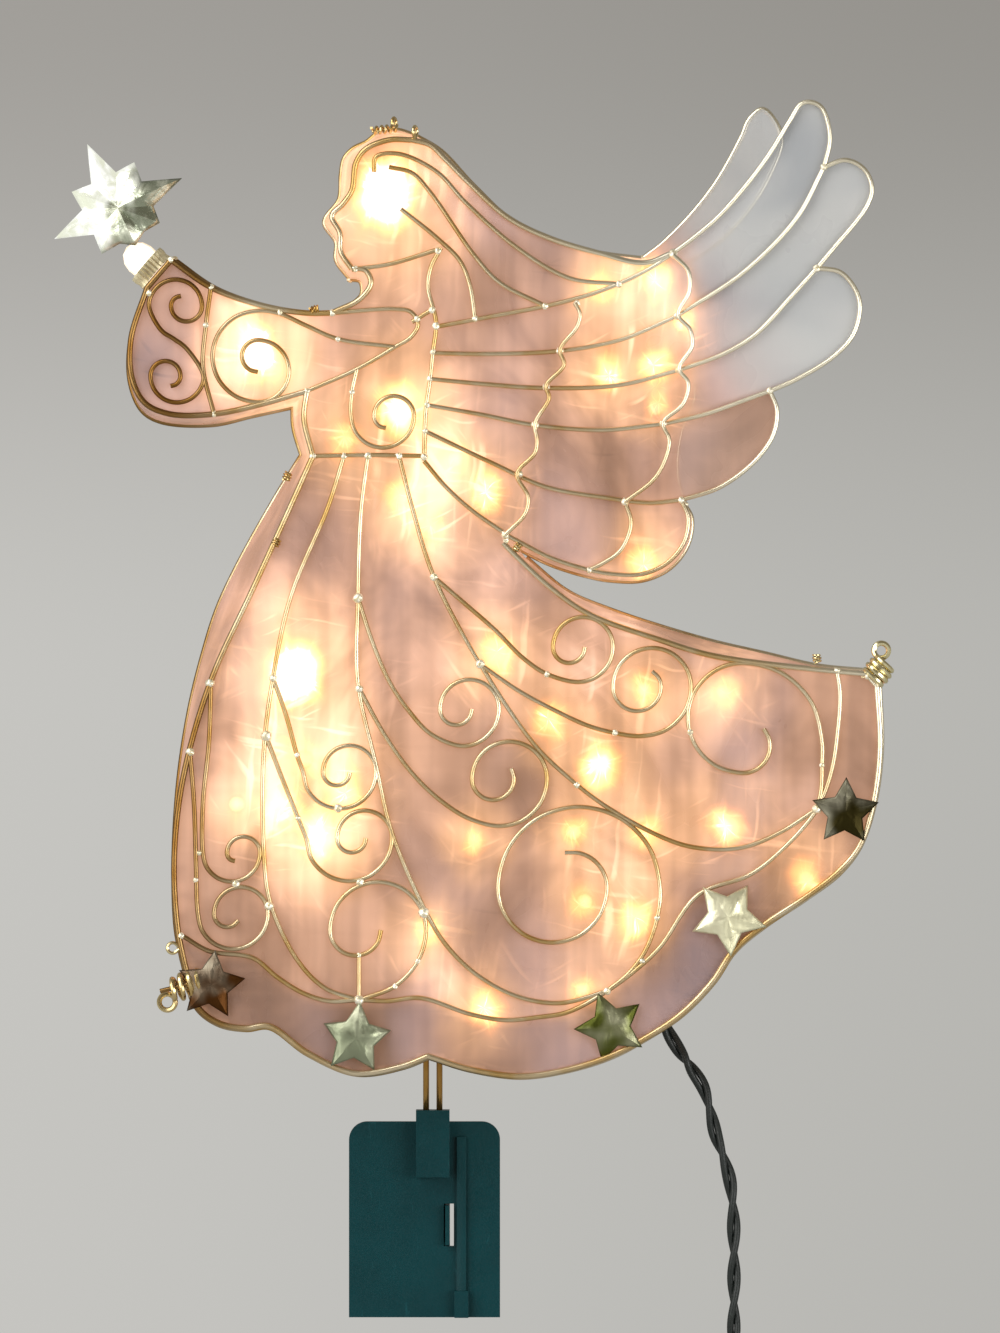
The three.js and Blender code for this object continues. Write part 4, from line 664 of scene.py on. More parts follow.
class NodeTree:
    """A node tree that is put together one node at a time."""

    def __init__(self, tree):
        self.tree = tree
        self.tree.nodes.clear()

    def node(self, kind, settings=None, values=None, output=0):
        """Adds a node: settings first, a ramp's stops among them, then sockets and web colours."""
        made = self.tree.nodes.new(kind)
        for name, setting in (settings or {}).items():
            if name == "stops":
                ramp = made.color_ramp
                while len(ramp.elements) < len(setting):
                    ramp.elements.new(1.0)
                for element, (position, colour) in zip(ramp.elements, setting):
                    element.position = position
                    element.color = tint(colour)
            else:
                setattr(made, name, setting)
        for name, value in (values or {}).items():
            if isinstance(value, Value):
                self.tree.links.new(value.socket, made.inputs[name])
            else:
                coded = isinstance(value, str) and value.startswith("#")
                made.inputs[name].default_value = tint(value) if coded else value
        return Value(self, made.outputs[output]) if len(made.outputs) else None

    def vectors(self, operation, *values, output=0):
        """A sum on vectors. Lengths and distances come out of its second output."""
        return self.node("ShaderNodeVectorMath", {"operation": operation},
                         dict(enumerate(values)), output)

    def scaled(self, vector, scale):
        return self.node("ShaderNodeVectorMath", {"operation": "SCALE"},
                         {0: vector, "Scale": scale})

    def grain(self, where, scale, detail, rough=0.5, warp=0.0, output=0):
        """Noise at a place: a share from 0 to 1, or a vector as its second output."""
        return self.node("ShaderNodeTexNoise", None, {
            "Vector": where, "Scale": scale, "Detail": detail, "Roughness": rough,
            "Distortion": warp}, output)


class Finish(NodeTree):
    """A material that is put together one node at a time."""

    def __init__(self, name):
        self.material = bpy.data.materials.new(name)
        self.material.use_nodes = True
        super().__init__(self.material.node_tree)
        self.coords = self.node("ShaderNodeTexCoord", output="Object")

    def noise(self, scale, detail=2.0, rough=0.5, stretch=(1, 1, 1), warp=0.0):
        """Soft noise on the piece's own coordinates, from 0 to 1, drawn out by the stretch."""
        return self.grain(self.stretched(stretch), scale, detail, rough, warp)

    def stretched(self, shares):
        return self.vectors("MULTIPLY", self.coords, shares)

    def part(self, axis):
        return self.node("ShaderNodeSeparateXYZ", None, {0: self.coords}, output=axis)

    def ranged(self, value, low, high, start=0.0, end=1.0):
        """The value taken smoothly from low..high to start..end."""
        return self.node("ShaderNodeMapRange", {"interpolation_type": "SMOOTHSTEP"}, {
            "Value": value, "From Min": low, "From Max": high, "To Min": start, "To Max": end})

    def mixed(self, share, one, other, blend="MIX"):
        return self.node("ShaderNodeMix", {"data_type": "RGBA", "blend_type": blend},
                         {0: share, 6: one, 7: other}, output=2)

    def times(self, one, other):
        """Two colours multiplied."""
        return self.mixed(1.0, one, other, "MULTIPLY")

    def ramp(self, value, *stops):
        return self.node("ShaderNodeValToRGB", {"stops": stops}, {0: value})

    def bump(self, height, depth, strength=1.0):
        return self.node("ShaderNodeBump", None,
                         {"Height": height, "Distance": depth, "Strength": strength})

    def principled(self, **values):
        """Ends the material in one shader and returns it."""
        values = {name.replace("_", " "): value for name, value in values.items()}
        shader = self.node("ShaderNodeBsdfPrincipled", None, values)
        self.node("ShaderNodeOutputMaterial", None, {"Surface": shader})
        return self.material


class Sky(Finish):
    """The world's light, put together like a finish and read by direction."""

    def __init__(self, name):
        self.world = bpy.data.worlds.new(name)
        self.world.use_nodes = True
        NodeTree.__init__(self, self.world.node_tree)
        self.coords = self.node("ShaderNodeTexCoord", output="Generated")


class Shape(NodeTree):
    """A Geometry Nodes tree with named inputs, which makes one piece from its skeleton."""

    def __init__(self, name, **inputs):
        self.group = bpy.data.node_groups.new(name, "GeometryNodeTree")
        super().__init__(self.group)
        sockets = self.group.interface
        sockets.new_socket("Geometry", in_out="OUTPUT", socket_type="NodeSocketGeometry")
        self.identifiers = {}
        for title, kind in {"Skeleton": "Geometry", **inputs}.items():
            made = sockets.new_socket(title.replace("_", " "), in_out="INPUT",
                                      socket_type="NodeSocket" + kind)
            self.identifiers[title] = made.identifier
        self.entry = self.tree.nodes.new("NodeGroupInput")

    def input(self, title):
        return Value(self, self.entry.outputs[title.replace("_", " ")])

    def attribute(self, name):
        return self.node("GeometryNodeInputNamedAttribute", {"data_type": "FLOAT"}, {"Name": name})

    def made_on(self, obj, **values):
        """Runs the tree on the object and leaves a plain mesh."""
        modifier = obj.modifiers.new(self.group.name, "NODES")
        modifier.node_group = self.group
        for title, value in values.items():
            modifier[self.identifiers[title]] = value
        return plain_mesh(obj)


def plain_mesh(obj):
    """Turns what the object's modifiers make into its own mesh and removes them."""
    bpy.context.view_layer.update()
    shown = obj.evaluated_get(bpy.context.evaluated_depsgraph_get())
    made = bpy.data.meshes.new_from_object(shown)
    made.name = obj.name
    obj.modifiers.clear()
    obj.data = made
    return obj


def object_of(name, mesh, finish=None):
    if finish:
        mesh.materials.append(finish)
    obj = bpy.data.objects.new(name, mesh)
    bpy.context.collection.objects.link(obj)
    return obj


def object_from(name, bm, finish, smooth=True, sharp=40):
    """An object from a bmesh, smooth except at edges sharper than the angle in degrees."""
    bmesh.ops.recalc_face_normals(bm, faces=bm.faces)
    mesh = bpy.data.meshes.new(name)
    bm.to_mesh(mesh)
    bm.free()
    mesh.polygons.foreach_set("use_smooth", [smooth] * len(mesh.polygons))
    if smooth:
        mesh.set_sharp_from_angle(angle=math.radians(sharp))
    return object_of(name, mesh, finish)


def carried(obj, body, slot, *nodes):
    """The piece rides a body and stands for these nodes, which it hides. Its slot is not used."""
    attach(obj, body)
    if nodes:
        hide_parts(*nodes)
    return obj


def skeleton(name, wires, joints, y, joint_y):
    """Runs of edges for the wires, as (stretches, diameter), and a point for each solder drop."""
    stations, edges, radii, drops = [], [], [], []
    for stretches, diameter in wires:
        line = chained(stretches, y, WIRE_STEP)
        start = len(stations)
        edges += [(start + i, start + i + 1) for i in range(len(line) - 1)]
        stations += line
        radii += [diameter / 2] * len(line)
        drops += [0.0] * len(line)
    for px, py, size in joints:
        stations.append(place((px, py), joint_y))
        radii.append(0.0)
        drops.append(size * 0.1 * MM)
    mesh = bpy.data.meshes.new(name)
    mesh.from_pydata(stations, edges, [])
    for title, values in (("wire_radius", radii), ("drop_size", drops)):
        mesh.attributes.new(title, "FLOAT", "POINT").data.foreach_set("value", values)
    return mesh


def soldered_wire_tree():
    """Round wire along every run of edges, and a lumpy flattened drop of solder on every point with a
    drop size.
    """
    shape = Shape("Soldered wire", Facets="Int", Drop_Flatness="Float", Lumpiness="Float",
                  Seed="Float", Wire_Finish="Material", Solder_Finish="Material")
    joined = shape.tree.nodes.new("GeometryNodeJoinGeometry")
    runs = shape.node("GeometryNodeMeshToCurve", None, {"Mesh": shape.input("Skeleton")})
    profile = shape.node("GeometryNodeCurvePrimitiveCircle", None,
                         {"Resolution": shape.input("Facets"), "Radius": 1.0})
    wire = shape.node("GeometryNodeCurveToMesh", None,
                      {"Curve": runs, "Profile Curve": profile, "Fill Caps": True,
                       "Scale": shape.attribute("wire_radius")})
    wire = shape.node("GeometryNodeSetShadeSmooth", None, {"Geometry": wire})
    wire = shape.node("GeometryNodeSetMaterial", None,
                      {"Geometry": wire, "Material": shape.input("Wire_Finish")})
    size = shape.attribute("drop_size")
    points = shape.node("GeometryNodeSeparateGeometry", {"domain": "POINT"}, {
        "Geometry": shape.input("Skeleton"), "Selection": size.maths("GREATER_THAN", size, 0.0001)})
    drop = shape.node("GeometryNodeMeshIcoSphere", None, {"Radius": 1.0, "Subdivisions": 3})
    scale = shape.node("ShaderNodeCombineXYZ", None,
                       {0: size, 1: size * shape.input("Drop_Flatness"), 2: size})
    turn = shape.node("FunctionNodeRandomValue", {"data_type": "FLOAT_VECTOR"},
                      {0: (0, -3.14, 0), 1: (0, 3.14, 0)})
    drops = shape.node("GeometryNodeInstanceOnPoints", None,
                       {"Points": points, "Instance": drop, "Scale": scale, "Rotation": turn})
    drops = shape.node("GeometryNodeRealizeInstances", None, {"Geometry": drops})
    lumps = shape.node("ShaderNodeTexNoise", {"noise_dimensions": "4D"}, {
        "Scale": 900.0, "Detail": 2.0, "W": shape.input("Seed")})
    outward = shape.node("GeometryNodeInputNormal")
    push = shape.scaled(outward, (lumps - 0.5) * shape.input("Lumpiness"))
    drops = shape.node("GeometryNodeSetPosition", None, {"Geometry": drops, "Offset": push})
    drops = shape.node("GeometryNodeSetShadeSmooth", None, {"Geometry": drops})
    drops = shape.node("GeometryNodeSetMaterial", None,
                       {"Geometry": drops, "Material": shape.input("Solder_Finish")})
    shape.tree.links.new(wire.socket, joined.inputs[0])
    shape.tree.links.new(drops.socket, joined.inputs[0])
    whole = shape.node("GeometryNodeRealizeInstances", None,
                       {"Geometry": Value(shape, joined.outputs[0])})
    shape.node("NodeGroupOutput", None, {0: whole})
    return shape


def tube_between(bm, stations, radius, sides):
    """A round tube along the stations. Its ring is carried along the path without a twist."""
    rings = []
    run = (stations[1] - stations[0]).normalized()
    side = run.orthogonal().normalized()
    for i, station in enumerate(stations):
        ahead, behind = stations[min(i + 1, len(stations) - 1)], stations[max(i - 1, 0)]
        new_run = (ahead - behind).normalized()
        side = run.rotation_difference(new_run) @ side
        side = (side - new_run * side.dot(new_run)).normalized()
        run = new_run
        other = run.cross(side)
        rings.append([bm.verts.new(station + radius * (
            side * math.cos(2 * math.pi * k / sides) + other * math.sin(2 * math.pi * k / sides)))
            for k in range(sides)])
    for near, far in zip(rings, rings[1:]):
        for k in range(sides):
            bm.faces.new((near[k], near[(k + 1) % sides], far[(k + 1) % sides], far[k]))
    bm.faces.new(list(reversed(rings[0])))
    bm.faces.new(rings[-1])


def lathed(bm, profile, sides, turn, flutes=0.0):
    """Adds a turned form: its profile is (radius, height) and the matrix puts it in place."""
    rings = []
    for radius, height in profile:
        if radius == 0:
            rings.append([bm.verts.new(turn @ Vector((0, 0, height)))])
            continue
        ring = []
        for k in range(sides):
            angle = 2 * math.pi * k / sides
            reach = radius + (flutes if k % 2 else 0)
            ring.append(bm.verts.new(turn @ Vector(
                (reach * math.cos(angle), reach * math.sin(angle), height))))
        rings.append(ring)
    for low, high in zip(rings, rings[1:]):
        for k in range(sides):
            following = (k + 1) % sides
            if len(low) == 1:
                corners = (low[0], high[following], high[k])
            elif len(high) == 1:
                corners = (low[k], low[following], high[0])
            else:
                corners = (low[k], low[following], high[following], high[k])
            bm.faces.new(corners)


def aimed(start, end):
    """The matrix that stands a turned form on start and points it to end."""
    turn = Vector((0, 0, 1)).rotation_difference(end - start).to_matrix().to_4x4()
    return Matrix.Translation(start) @ turn


def helix(start, end, radius, pitch, steps, ring=0.0, breadth=1.0):
    """Stations of a barrel-shaped winding from start towards end, with a loose ring at its end."""
    way = (end - start).normalized()
    depth = Vector((0, 1, 0))
    side = way.cross(depth)
    turns = math.floor((end - start).length / pitch)
    stations = []
    for i in range(turns * steps + 1):
        angle = 2 * math.pi * i / steps
        barrel = 1 - TAPER + TAPER * math.sin(math.pi * i / (turns * steps))
        stations.append(start + way * (pitch * i / steps)
                        + side * (radius * breadth * barrel * math.cos(angle))
                        + depth * (radius * barrel * math.sin(angle)))
    if ring:
        middle = stations[-1] + way * ring
        for k in range(1, 2 * RING_HALF):
            angle = k * math.pi / RING_HALF
            stations.append(middle - way * (ring * math.cos(angle))
                            + side * (ring * math.sin(angle)) + depth * (RING_DRIFT * k * radius))
    return stations


def inside_rows(outline, step):
    """Places on staggered rows inside a closed outline of flat places, clear of its edge."""
    low = min(p[1] for p in outline)
    high = max(p[1] for p in outline)
    edges = list(zip(outline, outline[1:] + outline[:1]))
    rows = []
    for row in range(1, int((high - low) / (step * ROW_SHARE)) + 1):
        z = low + row * step * ROW_SHARE
        crossings = sorted(
            a[0] + (z - a[1]) * (b[0] - a[0]) / (b[1] - a[1])
            for a, b in edges if (a[1] > z) != (b[1] > z))
        for start, end in zip(crossings[::2], crossings[1::2]):
            first = math.ceil((start + step * EDGE_SHARE) / step)
            shift = step / 2 if row % 2 else 0
            x = first * step + shift
            while x < end - step * EDGE_SHARE:
                rows.append((x, z))
                x += step
    return rows


def film_sheet(name, stretches, y, step, ripple, holes=()):
    """A thin sheet with the outline of its frame, slightly uneven, with round holes."""
    outline = []
    for stretch in stretches:
        for p in spline([place(q, 0) for q in stretch], step):
            if not outline or math.dist(outline[-1], (p.x, p.z)) > step * CROWDED:
                outline.append((p.x, p.z))
    if math.dist(outline[0], outline[-1]) < step * CROWDED:
        outline.pop()
    places = list(outline)
    loops = [list(range(len(outline)))]
    for px, py, radius in holes:
        start = len(places)
        angles = [k * math.pi / (HOLE_SIDES / 2) for k in range(HOLE_SIDES)]
        places += [(across(px) + radius * math.cos(a), up(py) + radius * math.sin(a))
                   for a in angles]
        loops.append(list(range(start, start + HOLE_SIDES)))
    middles = [(across(px), up(py), radius + step * 0.5) for px, py, radius in holes]
    grid = [p for p in inside_rows(outline, step)
            if all(math.dist(p, (x, z)) > reach for x, z, reach in middles)]
    flat = [Vector(p) for p in places + grid]
    corners, _, faces, *_ = delaunay_2d_cdt(flat, [], loops, 4 if holes else 1, 1e-7)
    used = sorted({i for face in faces for i in face})
    index = {old: new for new, old in enumerate(used)}
    stations = []
    for i in used:
        x, z = corners[i]
        lift = noise.noise(Vector((x * FILM_RIPPLES[0], z * FILM_RIPPLES[2], y * FILM_RIPPLES[1])))
        stations.append((x, y + lift * ripple, z))
    mesh = bpy.data.meshes.new(name)
    mesh.from_pydata(stations, [], [tuple(index[i] for i in face) for face in faces])
    mark_hem(mesh)
    mesh.polygons.foreach_set("use_smooth", [True] * len(mesh.polygons))
    if mesh.polygons and mesh.polygons[0].normal.y > 0:
        mesh.flip_normals()
    return mesh


def mark_hem(mesh):
    """Gives each point its share of the hem's shade: 0 on the skirt and 1 past its inner wire."""
    wire = [(p.x, p.z) for p in spline([place(q, 0) for q in INNER_HEM], 1.5 * MM)]
    hem = wire + [(across(x), up(y)) for x, y in (*HEM_LEFT, *HEM_RIGHT, SKIRT_TOP[0])]
    edges = list(zip(hem, hem[1:] + hem[:1]))
    tree = KDTree(len(wire))
    for i, (x, z) in enumerate(wire):
        tree.insert((x, z, 0), i)
    tree.balance()
    shares = []
    for vertex in mesh.vertices:
        x, _, z = vertex.co
        crossings = sum((a[1] > z) != (b[1] > z) and x < a[0] + (z - a[1]) * (b[0] - a[0])
                        / (b[1] - a[1]) for a, b in edges)
        away = tree.find((x, z, 0))[2]
        low = min(max((HEM_SHADE_TOP - z) / HEM_SHADE_FADE, 0), 1)
        past = crossings % 2 == 1 or z < min(p[1] for p in hem)
        shares.append(min(away / HEM_SHADE_EDGE, 1) * low if past else 0.0)
    mesh.attributes.new("hem_share", "FLOAT", "POINT").data.foreach_set("value", shares)


def evenly(stretch, count):
    """Places that share a smooth stretch out evenly."""
    line = spline([place(p, 0) for p in stretch], 0.5 * MM)
    run = [0.0]
    for a, b in zip(line, line[1:]):
        run.append(run[-1] + (b - a).length)
    places, k = [], 0
    for i in range(count + 1):
        goal = run[-1] * i / count
        while k < len(run) - 2 and run[k + 1] < goal:
            k += 1
        share = (goal - run[k]) / (run[k + 1] - run[k])
        places.append(line[k].lerp(line[k + 1], min(max(share, 0), 1)))
    return places


def band_sheet(bm, pairs, front_y, back_y, ripple):
    """A strip of film ruled from the front frame's edge to the back frame's."""
    front, back = [], []
    for front_stretch, back_stretch in pairs:
        length = sum((b - a).length for a, b in zip(
            [place(p, 0) for p in front_stretch], [place(p, 0) for p in front_stretch][1:]))
        count = max(2, math.ceil(length / BAND_STEP))
        for line, stretch in ((front, front_stretch), (back, back_stretch)):
            stations = evenly(stretch, count)
            line += stations[1:] if line else stations
    grid = []
    for a, b in zip(front, back):
        column = []
        for k in range(BAND_ROWS + 1):
            p = a.lerp(b, k / BAND_ROWS)
            p.y = front_y + (back_y - front_y) * k / BAND_ROWS
            dent = noise.noise(p * Vector(BAND_RIPPLES)) * ripple
            dent *= math.sin(math.pi * k / BAND_ROWS)
            column.append(bm.verts.new(p + Vector((dent, 0, dent * 0.6))))
        grid.append(column)
    for left, right in zip(grid, grid[1:]):
        for k in range(BAND_ROWS):
            bm.faces.new((left[k], left[k + 1], right[k + 1], right[k]))


def foil_star(bm, radii, heading, middle, folds, dome, ridge, crumple, seed):
    """A star cut from thin foil: a slight dome, soft ridges along its arms, and arms bent back."""
    count = len(radii)
    tips = [(Vector((math.cos(a), 0, math.sin(a))), r) for a, r in (
        (math.radians(heading) + k * 2 * math.pi / count, r) for k, r in enumerate(radii))]
    rims = []
    for k, (way, reach) in enumerate(tips):
        ahead, further = tips[(k + 1) % count]
        valley = k % 2
        rims.append((way * reach, 0.0 if valley else 1.0))
        rims.append(((way * reach + ahead * further) / 2, 0.5))
    spokes = []
    top = bm.verts.new(middle + Vector((0, -dome, 0)))
    for rim, rise in rims:
        spoke = []
        for k in range(1, STAR_RINGS + 1):
            share = k / STAR_RINGS
            p = rim * share
            p.y = -dome * (1 - share * share) - ridge * rise * math.sin(math.pi * share)
            for arm in range(0, count, 2):
                way = tips[arm][0]
                hinge = radii[1] * math.cos(2 * math.pi / count)
                past = max(p.dot(way) - hinge, 0)
                fold = math.radians(folds[arm // 2 % len(folds)])
                p = p - way * past * (1 - math.cos(fold)) + Vector((0, past * math.sin(fold), 0))
            wave = noise.noise(rim * (share * CRUMPLES) + Vector((seed, 0, 0))) * crumple * share
            spoke.append(bm.verts.new(middle + p + Vector((0, wave, 0))))
        spokes.append(spoke)
    for left, right in zip(spokes, spokes[1:] + spokes[:1]):
        bm.faces.new((top, right[0], left[0]))
        for k in range(STAR_RINGS - 1):
            bm.faces.new((left[k], right[k], right[k + 1], left[k + 1]))


def moulded_copy(name, node, width, finish, sharp=35):
    """A merged copy of a node with its sharp edges rounded."""
    bm = bmesh.new()
    bm.from_mesh(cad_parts[node].data)
    bmesh.ops.remove_doubles(bm, verts=bm.verts, dist=MERGED)
    bmesh.ops.dissolve_limit(bm, angle_limit=math.radians(0.5), verts=bm.verts, edges=bm.edges)
    obj = object_from(name, bm, finish, sharp=sharp)
    if width:
        rounding = obj.modifiers.new("Rounded edges", "BEVEL")
        rounding.width = width
        rounding.segments = 3
        rounding.limit_method = "ANGLE"
        rounding.angle_limit = math.radians(sharp)
        rounding.use_clamp_overlap = True
        rounding.harden_normals = True
        plain_mesh(obj)
    return obj


def lamp_light(finish):
    """The lamps' light on the film: wide, close and near shares, and rays out from each lamp."""
    flat = finish.stretched((1, 0, LIGHT_SQUEEZE))
    wobble = finish.grain(flat, 95.0, 1.0, output=1)
    wobble = finish.vectors("MULTIPLY_ADD", wobble, (2 * WOBBLE, 0, 2 * WOBBLE),
                            (-WOBBLE, 0, -WOBBLE))
    bent = finish.vectors("ADD", flat, wobble)
    wide = close = near = 0.0
    out = (0, 0, 0)
    for px, py, reach, strength in LAMPS:
        away = finish.vectors("SUBTRACT", bent, (across(px), 0, up(py) * LIGHT_SQUEEZE))
        length = finish.vectors("LENGTH", away, output=1)
        far = reach / 1000 * DRAWING_WIDTH
        wide = wide + lamp_share(finish, length, far * WIDE_LIGHT, strength)
        close = close + lamp_share(finish, length, far * CLOSE_LIGHT, strength)
        share = lamp_share(finish, length, far * NEAR_LIGHT, strength)
        near = near + share * share
        out = finish.vectors("ADD", finish.scaled(away, share / length), out)
    for px, py, reach, strength in FILM_SHARES:
        length = finish.vectors("DISTANCE", bent, (across(px), 0, up(py) * LIGHT_SQUEEZE),
                                output=1)
        wide = wide + lamp_share(finish, length, reach / 1000 * DRAWING_WIDTH, strength)
    heading = finish.vectors("NORMALIZE", out)
    where = finish.vectors("MULTIPLY_ADD", flat, (28, 28, 28), heading)
    rays = finish.ranged(finish.grain(where, 2.8, 2.0), 0.5, 0.74)
    return wide, close, near, rays


def lamp_share(finish, away, reach, strength):
    """The strength at a lamp, falling away smoothly to nothing at its reach."""
    return finish.node("ShaderNodeMapRange", {"interpolation_type": "SMOOTHERSTEP"}, {
        "Value": away, "From Max": reach, "To Min": strength, "To Max": 0.0})


def outward_slope(finish):
    """How far out a place lies towards the outer feathers, from about 0.2 at their roots."""
    return finish.part(0) * OUTWARD_SHARES[0] + finish.part(2) * OUTWARD_SHARES[1]


def wing_tips(finish):
    """The outer feathers' shares: their colour, their want of light, and their paleness (painted
    reflection).
    """
    slope = outward_slope(finish)
    above = finish.ranged(finish.part(2) - finish.part(0) * TIPS_LEAN, *TIPS_ABOVE)
    spill = slope + finish.noise(70, 2.0, 0.6) * 0.012
    return (finish.ranged(slope, *TIPS_COLOURED) * above,
            finish.ranged(spill, *TIPS_UNLIT) * above, finish.ranged(slope, *TIPS_REFLECTION))


def crinkle(finish):
    """Fine bright lines that the film's creases throw, from 0 to 1."""
    lines = 0.0
    for k, ((across_share, up_share), stretch, scale, low) in enumerate(CRINKLES):
        along = finish.part(0) * across_share + finish.part(2) * up_share
        over = finish.part(2) * across_share - finish.part(0) * up_share
        patch = finish.grain(finish.coords, 42.0 + 9 * k, 1.0)
        where = finish.node("ShaderNodeCombineXYZ", None,
                            {0: along * stretch, 1: over + patch * 0.005, 2: 0.31 * k})
        line = finish.grain(where, scale, 1.0, warp=0.1)
        lines = lines + finish.ranged(line, 0.6, 0.78) * finish.ranged(patch, low, low + 0.16)
    return lines.clamped()


def film_finish(name, base, tip, floor, opacity, tip_opacity):
    """Pale film, unevenly clear, that glows warm where the lamps behind it shine through."""
    finish = Finish(name)
    wide, close, near, rays = lamp_light(finish)
    tips, unlit, outward = wing_tips(finish)
    hem = finish.node("ShaderNodeAttribute", {"attribute_name": "hem_share"}, output="Fac")
    blotch = finish.noise(24, 3.0, 0.55, (1, 1, 0.8), 1.0)
    fold = finish.noise(120, 2.0, 0.55, (1, 1, 0.05))
    sweep = finish.noise(80, 2.0, 0.6, (0.14, 1, 1), 0.6)
    lines = crinkle(finish)
    body = (1 - unlit) * (1 - hem * HEM_DARK)
    uneven = (finish.ranged(blotch, 0.3, 0.7) * 0.8 + 0.65) * (
        finish.ranged(fold, 0.3, 0.7) * 0.36 + 0.82) * (sweep * 0.4 + 0.8)
    level = (wide * WIDE_GAIN + floor) * uneven * body + lines * (
        wide * CREASE_WIDE_GAIN + close * CREASE_CLOSE_GAIN) * body
    warm = finish.ramp(level / WARM_FULL, *WARM_GLOW)
    spots = finish.ranged(finish.noise(150, 1.5, 0.5, (1, 1, 0.75), 0.5), 0.62, 0.8)
    heat = near * (rays * RAY_GAIN + NEAR_GAIN) * (1 - hem * HEM_DIM) + (
        finish.ranged(wide, 0.7, 2.6) * spots * SPOT_GAIN * body)
    hot = finish.ramp(heat / HOT_FULL, *HOT_GLOW)
    amber = finish.times(AMBER, close / (close * 0.8 + 1) * (
        uneven * 0.5 + lines * 0.25) * body)
    glow = finish.mixed(1.0, finish.mixed(1.0, warm, amber, "ADD"), hot, "ADD")
    cool = finish.ranged(finish.noise(17, 2.0, 0.5, (1, 1, 0.6), 0.6), 0.42, 0.66)
    toned = finish.mixed(cool, base, finish.mixed(0.35, base, COOL))
    cloud = finish.ranged(finish.noise(22, 2.0, 0.5, (1, 1, 1), 0.4), 0.3, 0.7)
    feather = finish.mixed(cloud, tip, finish.times(tip, FEATHER_CLOUD))
    # Paler outward from the roots: a painted reflection of the room on the outer feathers
    feather = finish.mixed(outward, FEATHER_ROOT, feather)
    colour = finish.mixed(tips, toned, feather)
    alpha = tips * (cloud * 0.3 + (1 - outward) * 0.25 + tip_opacity - 0.05) + (1 - tips) * (
        cloud * 0.06 + opacity + near * 0.12)
    height = finish.noise(60, 3.0, 0.6, (1, 1, 0.35), 0.5) + fold * 0.35 + sweep * 0.2
    return finish.principled(
        Base_Color=colour, Roughness=finish.ranged(blotch, 0.3, 0.7, 0.24, 0.42),
        Alpha=alpha.clamped(), Emission_Color=glow, Emission_Strength=1.0,
        Specular_IOR_Level=0.6, Normal=finish.bump(height, 0.0012, 0.5))


def gold_wire_finish(name, colour, rough, shaded="#ffffff"):
    """Drawn brass-gold wire: fine marks and cloudy plating, with painted shade at the figure's left
    and a painted highlight that turns it pale on the feathers.
    """
    finish = Finish(name)
    cloud = finish.noise(45, 3.0, 0.6)
    speck = finish.noise(2600, 2.0, 0.7)
    outward = outward_slope(finish) + cloud * 0.03
    dark = finish.times(colour, "#cfae74")
    toned = finish.mixed(finish.ranged(cloud, 0.3, 0.7, 0.35, 1.0), colour, dark)
    # Painted shade: the wire darkens towards the figure's left
    leftward = finish.ranged(finish.part(0), *GOLD_SHADED)
    toned = finish.mixed(leftward, toned, finish.times(toned, shaded))
    # Paler on the feathers: a painted highlight
    return finish.principled(
        Base_Color=finish.mixed(finish.ranged(outward, *GOLD_HIGHLIGHT), toned, colour), Metallic=0.95,
        Roughness=finish.ranged(cloud, 0.3, 0.7, rough - 0.03, rough + 0.04),
        Normal=finish.bump(speck, 0.00001, 0.3))


def solder_finish():
    """Solder under thin gold plating, whiter in cloudy patches; its pale colour is partly painted
    highlight.
    """
    finish = Finish("Plated solder")
    cloud = finish.noise(900, 3.0, 0.6)
    # Pale gold to near white: partly a painted highlight on the drops
    colour = finish.ramp(cloud, (0.35, "#e3d3a4"), (0.6, "#fbf6e4"))
    return finish.principled(Base_Color=colour, Metallic=finish.ranged(cloud, 0.3, 0.7, 0.55, 0.8),
                             Roughness=finish.ranged(cloud, 0.3, 0.7, 0.3, 0.48),
                             Normal=finish.bump(cloud, 0.0002, 0.5))


def foil_finish(name, colour):
    """Rolled metal foil: shallow dents, fine scratches along it, and a cloudy sheen."""
    finish = Finish(name)
    dent = finish.noise(120, 2.0, 0.5, warp=0.6)
    cloud = finish.noise(70, 2.0, 0.5)
    scratch = finish.noise(900, 2.0, 0.6, (1, 1, 0.15))
    pale = finish.mixed(0.35, colour, "#fbf6da")
    return finish.principled(
        Base_Color=finish.mixed(finish.ranged(cloud, 0.45, 0.75), colour, pale), Metallic=0.72,
        Specular_IOR_Level=0.15,
        Roughness=finish.ranged(scratch, 0.3, 0.7, 0.3, 0.46),
        Normal=finish.bump(dent + scratch * 0.04, 0.0011, 0.6))


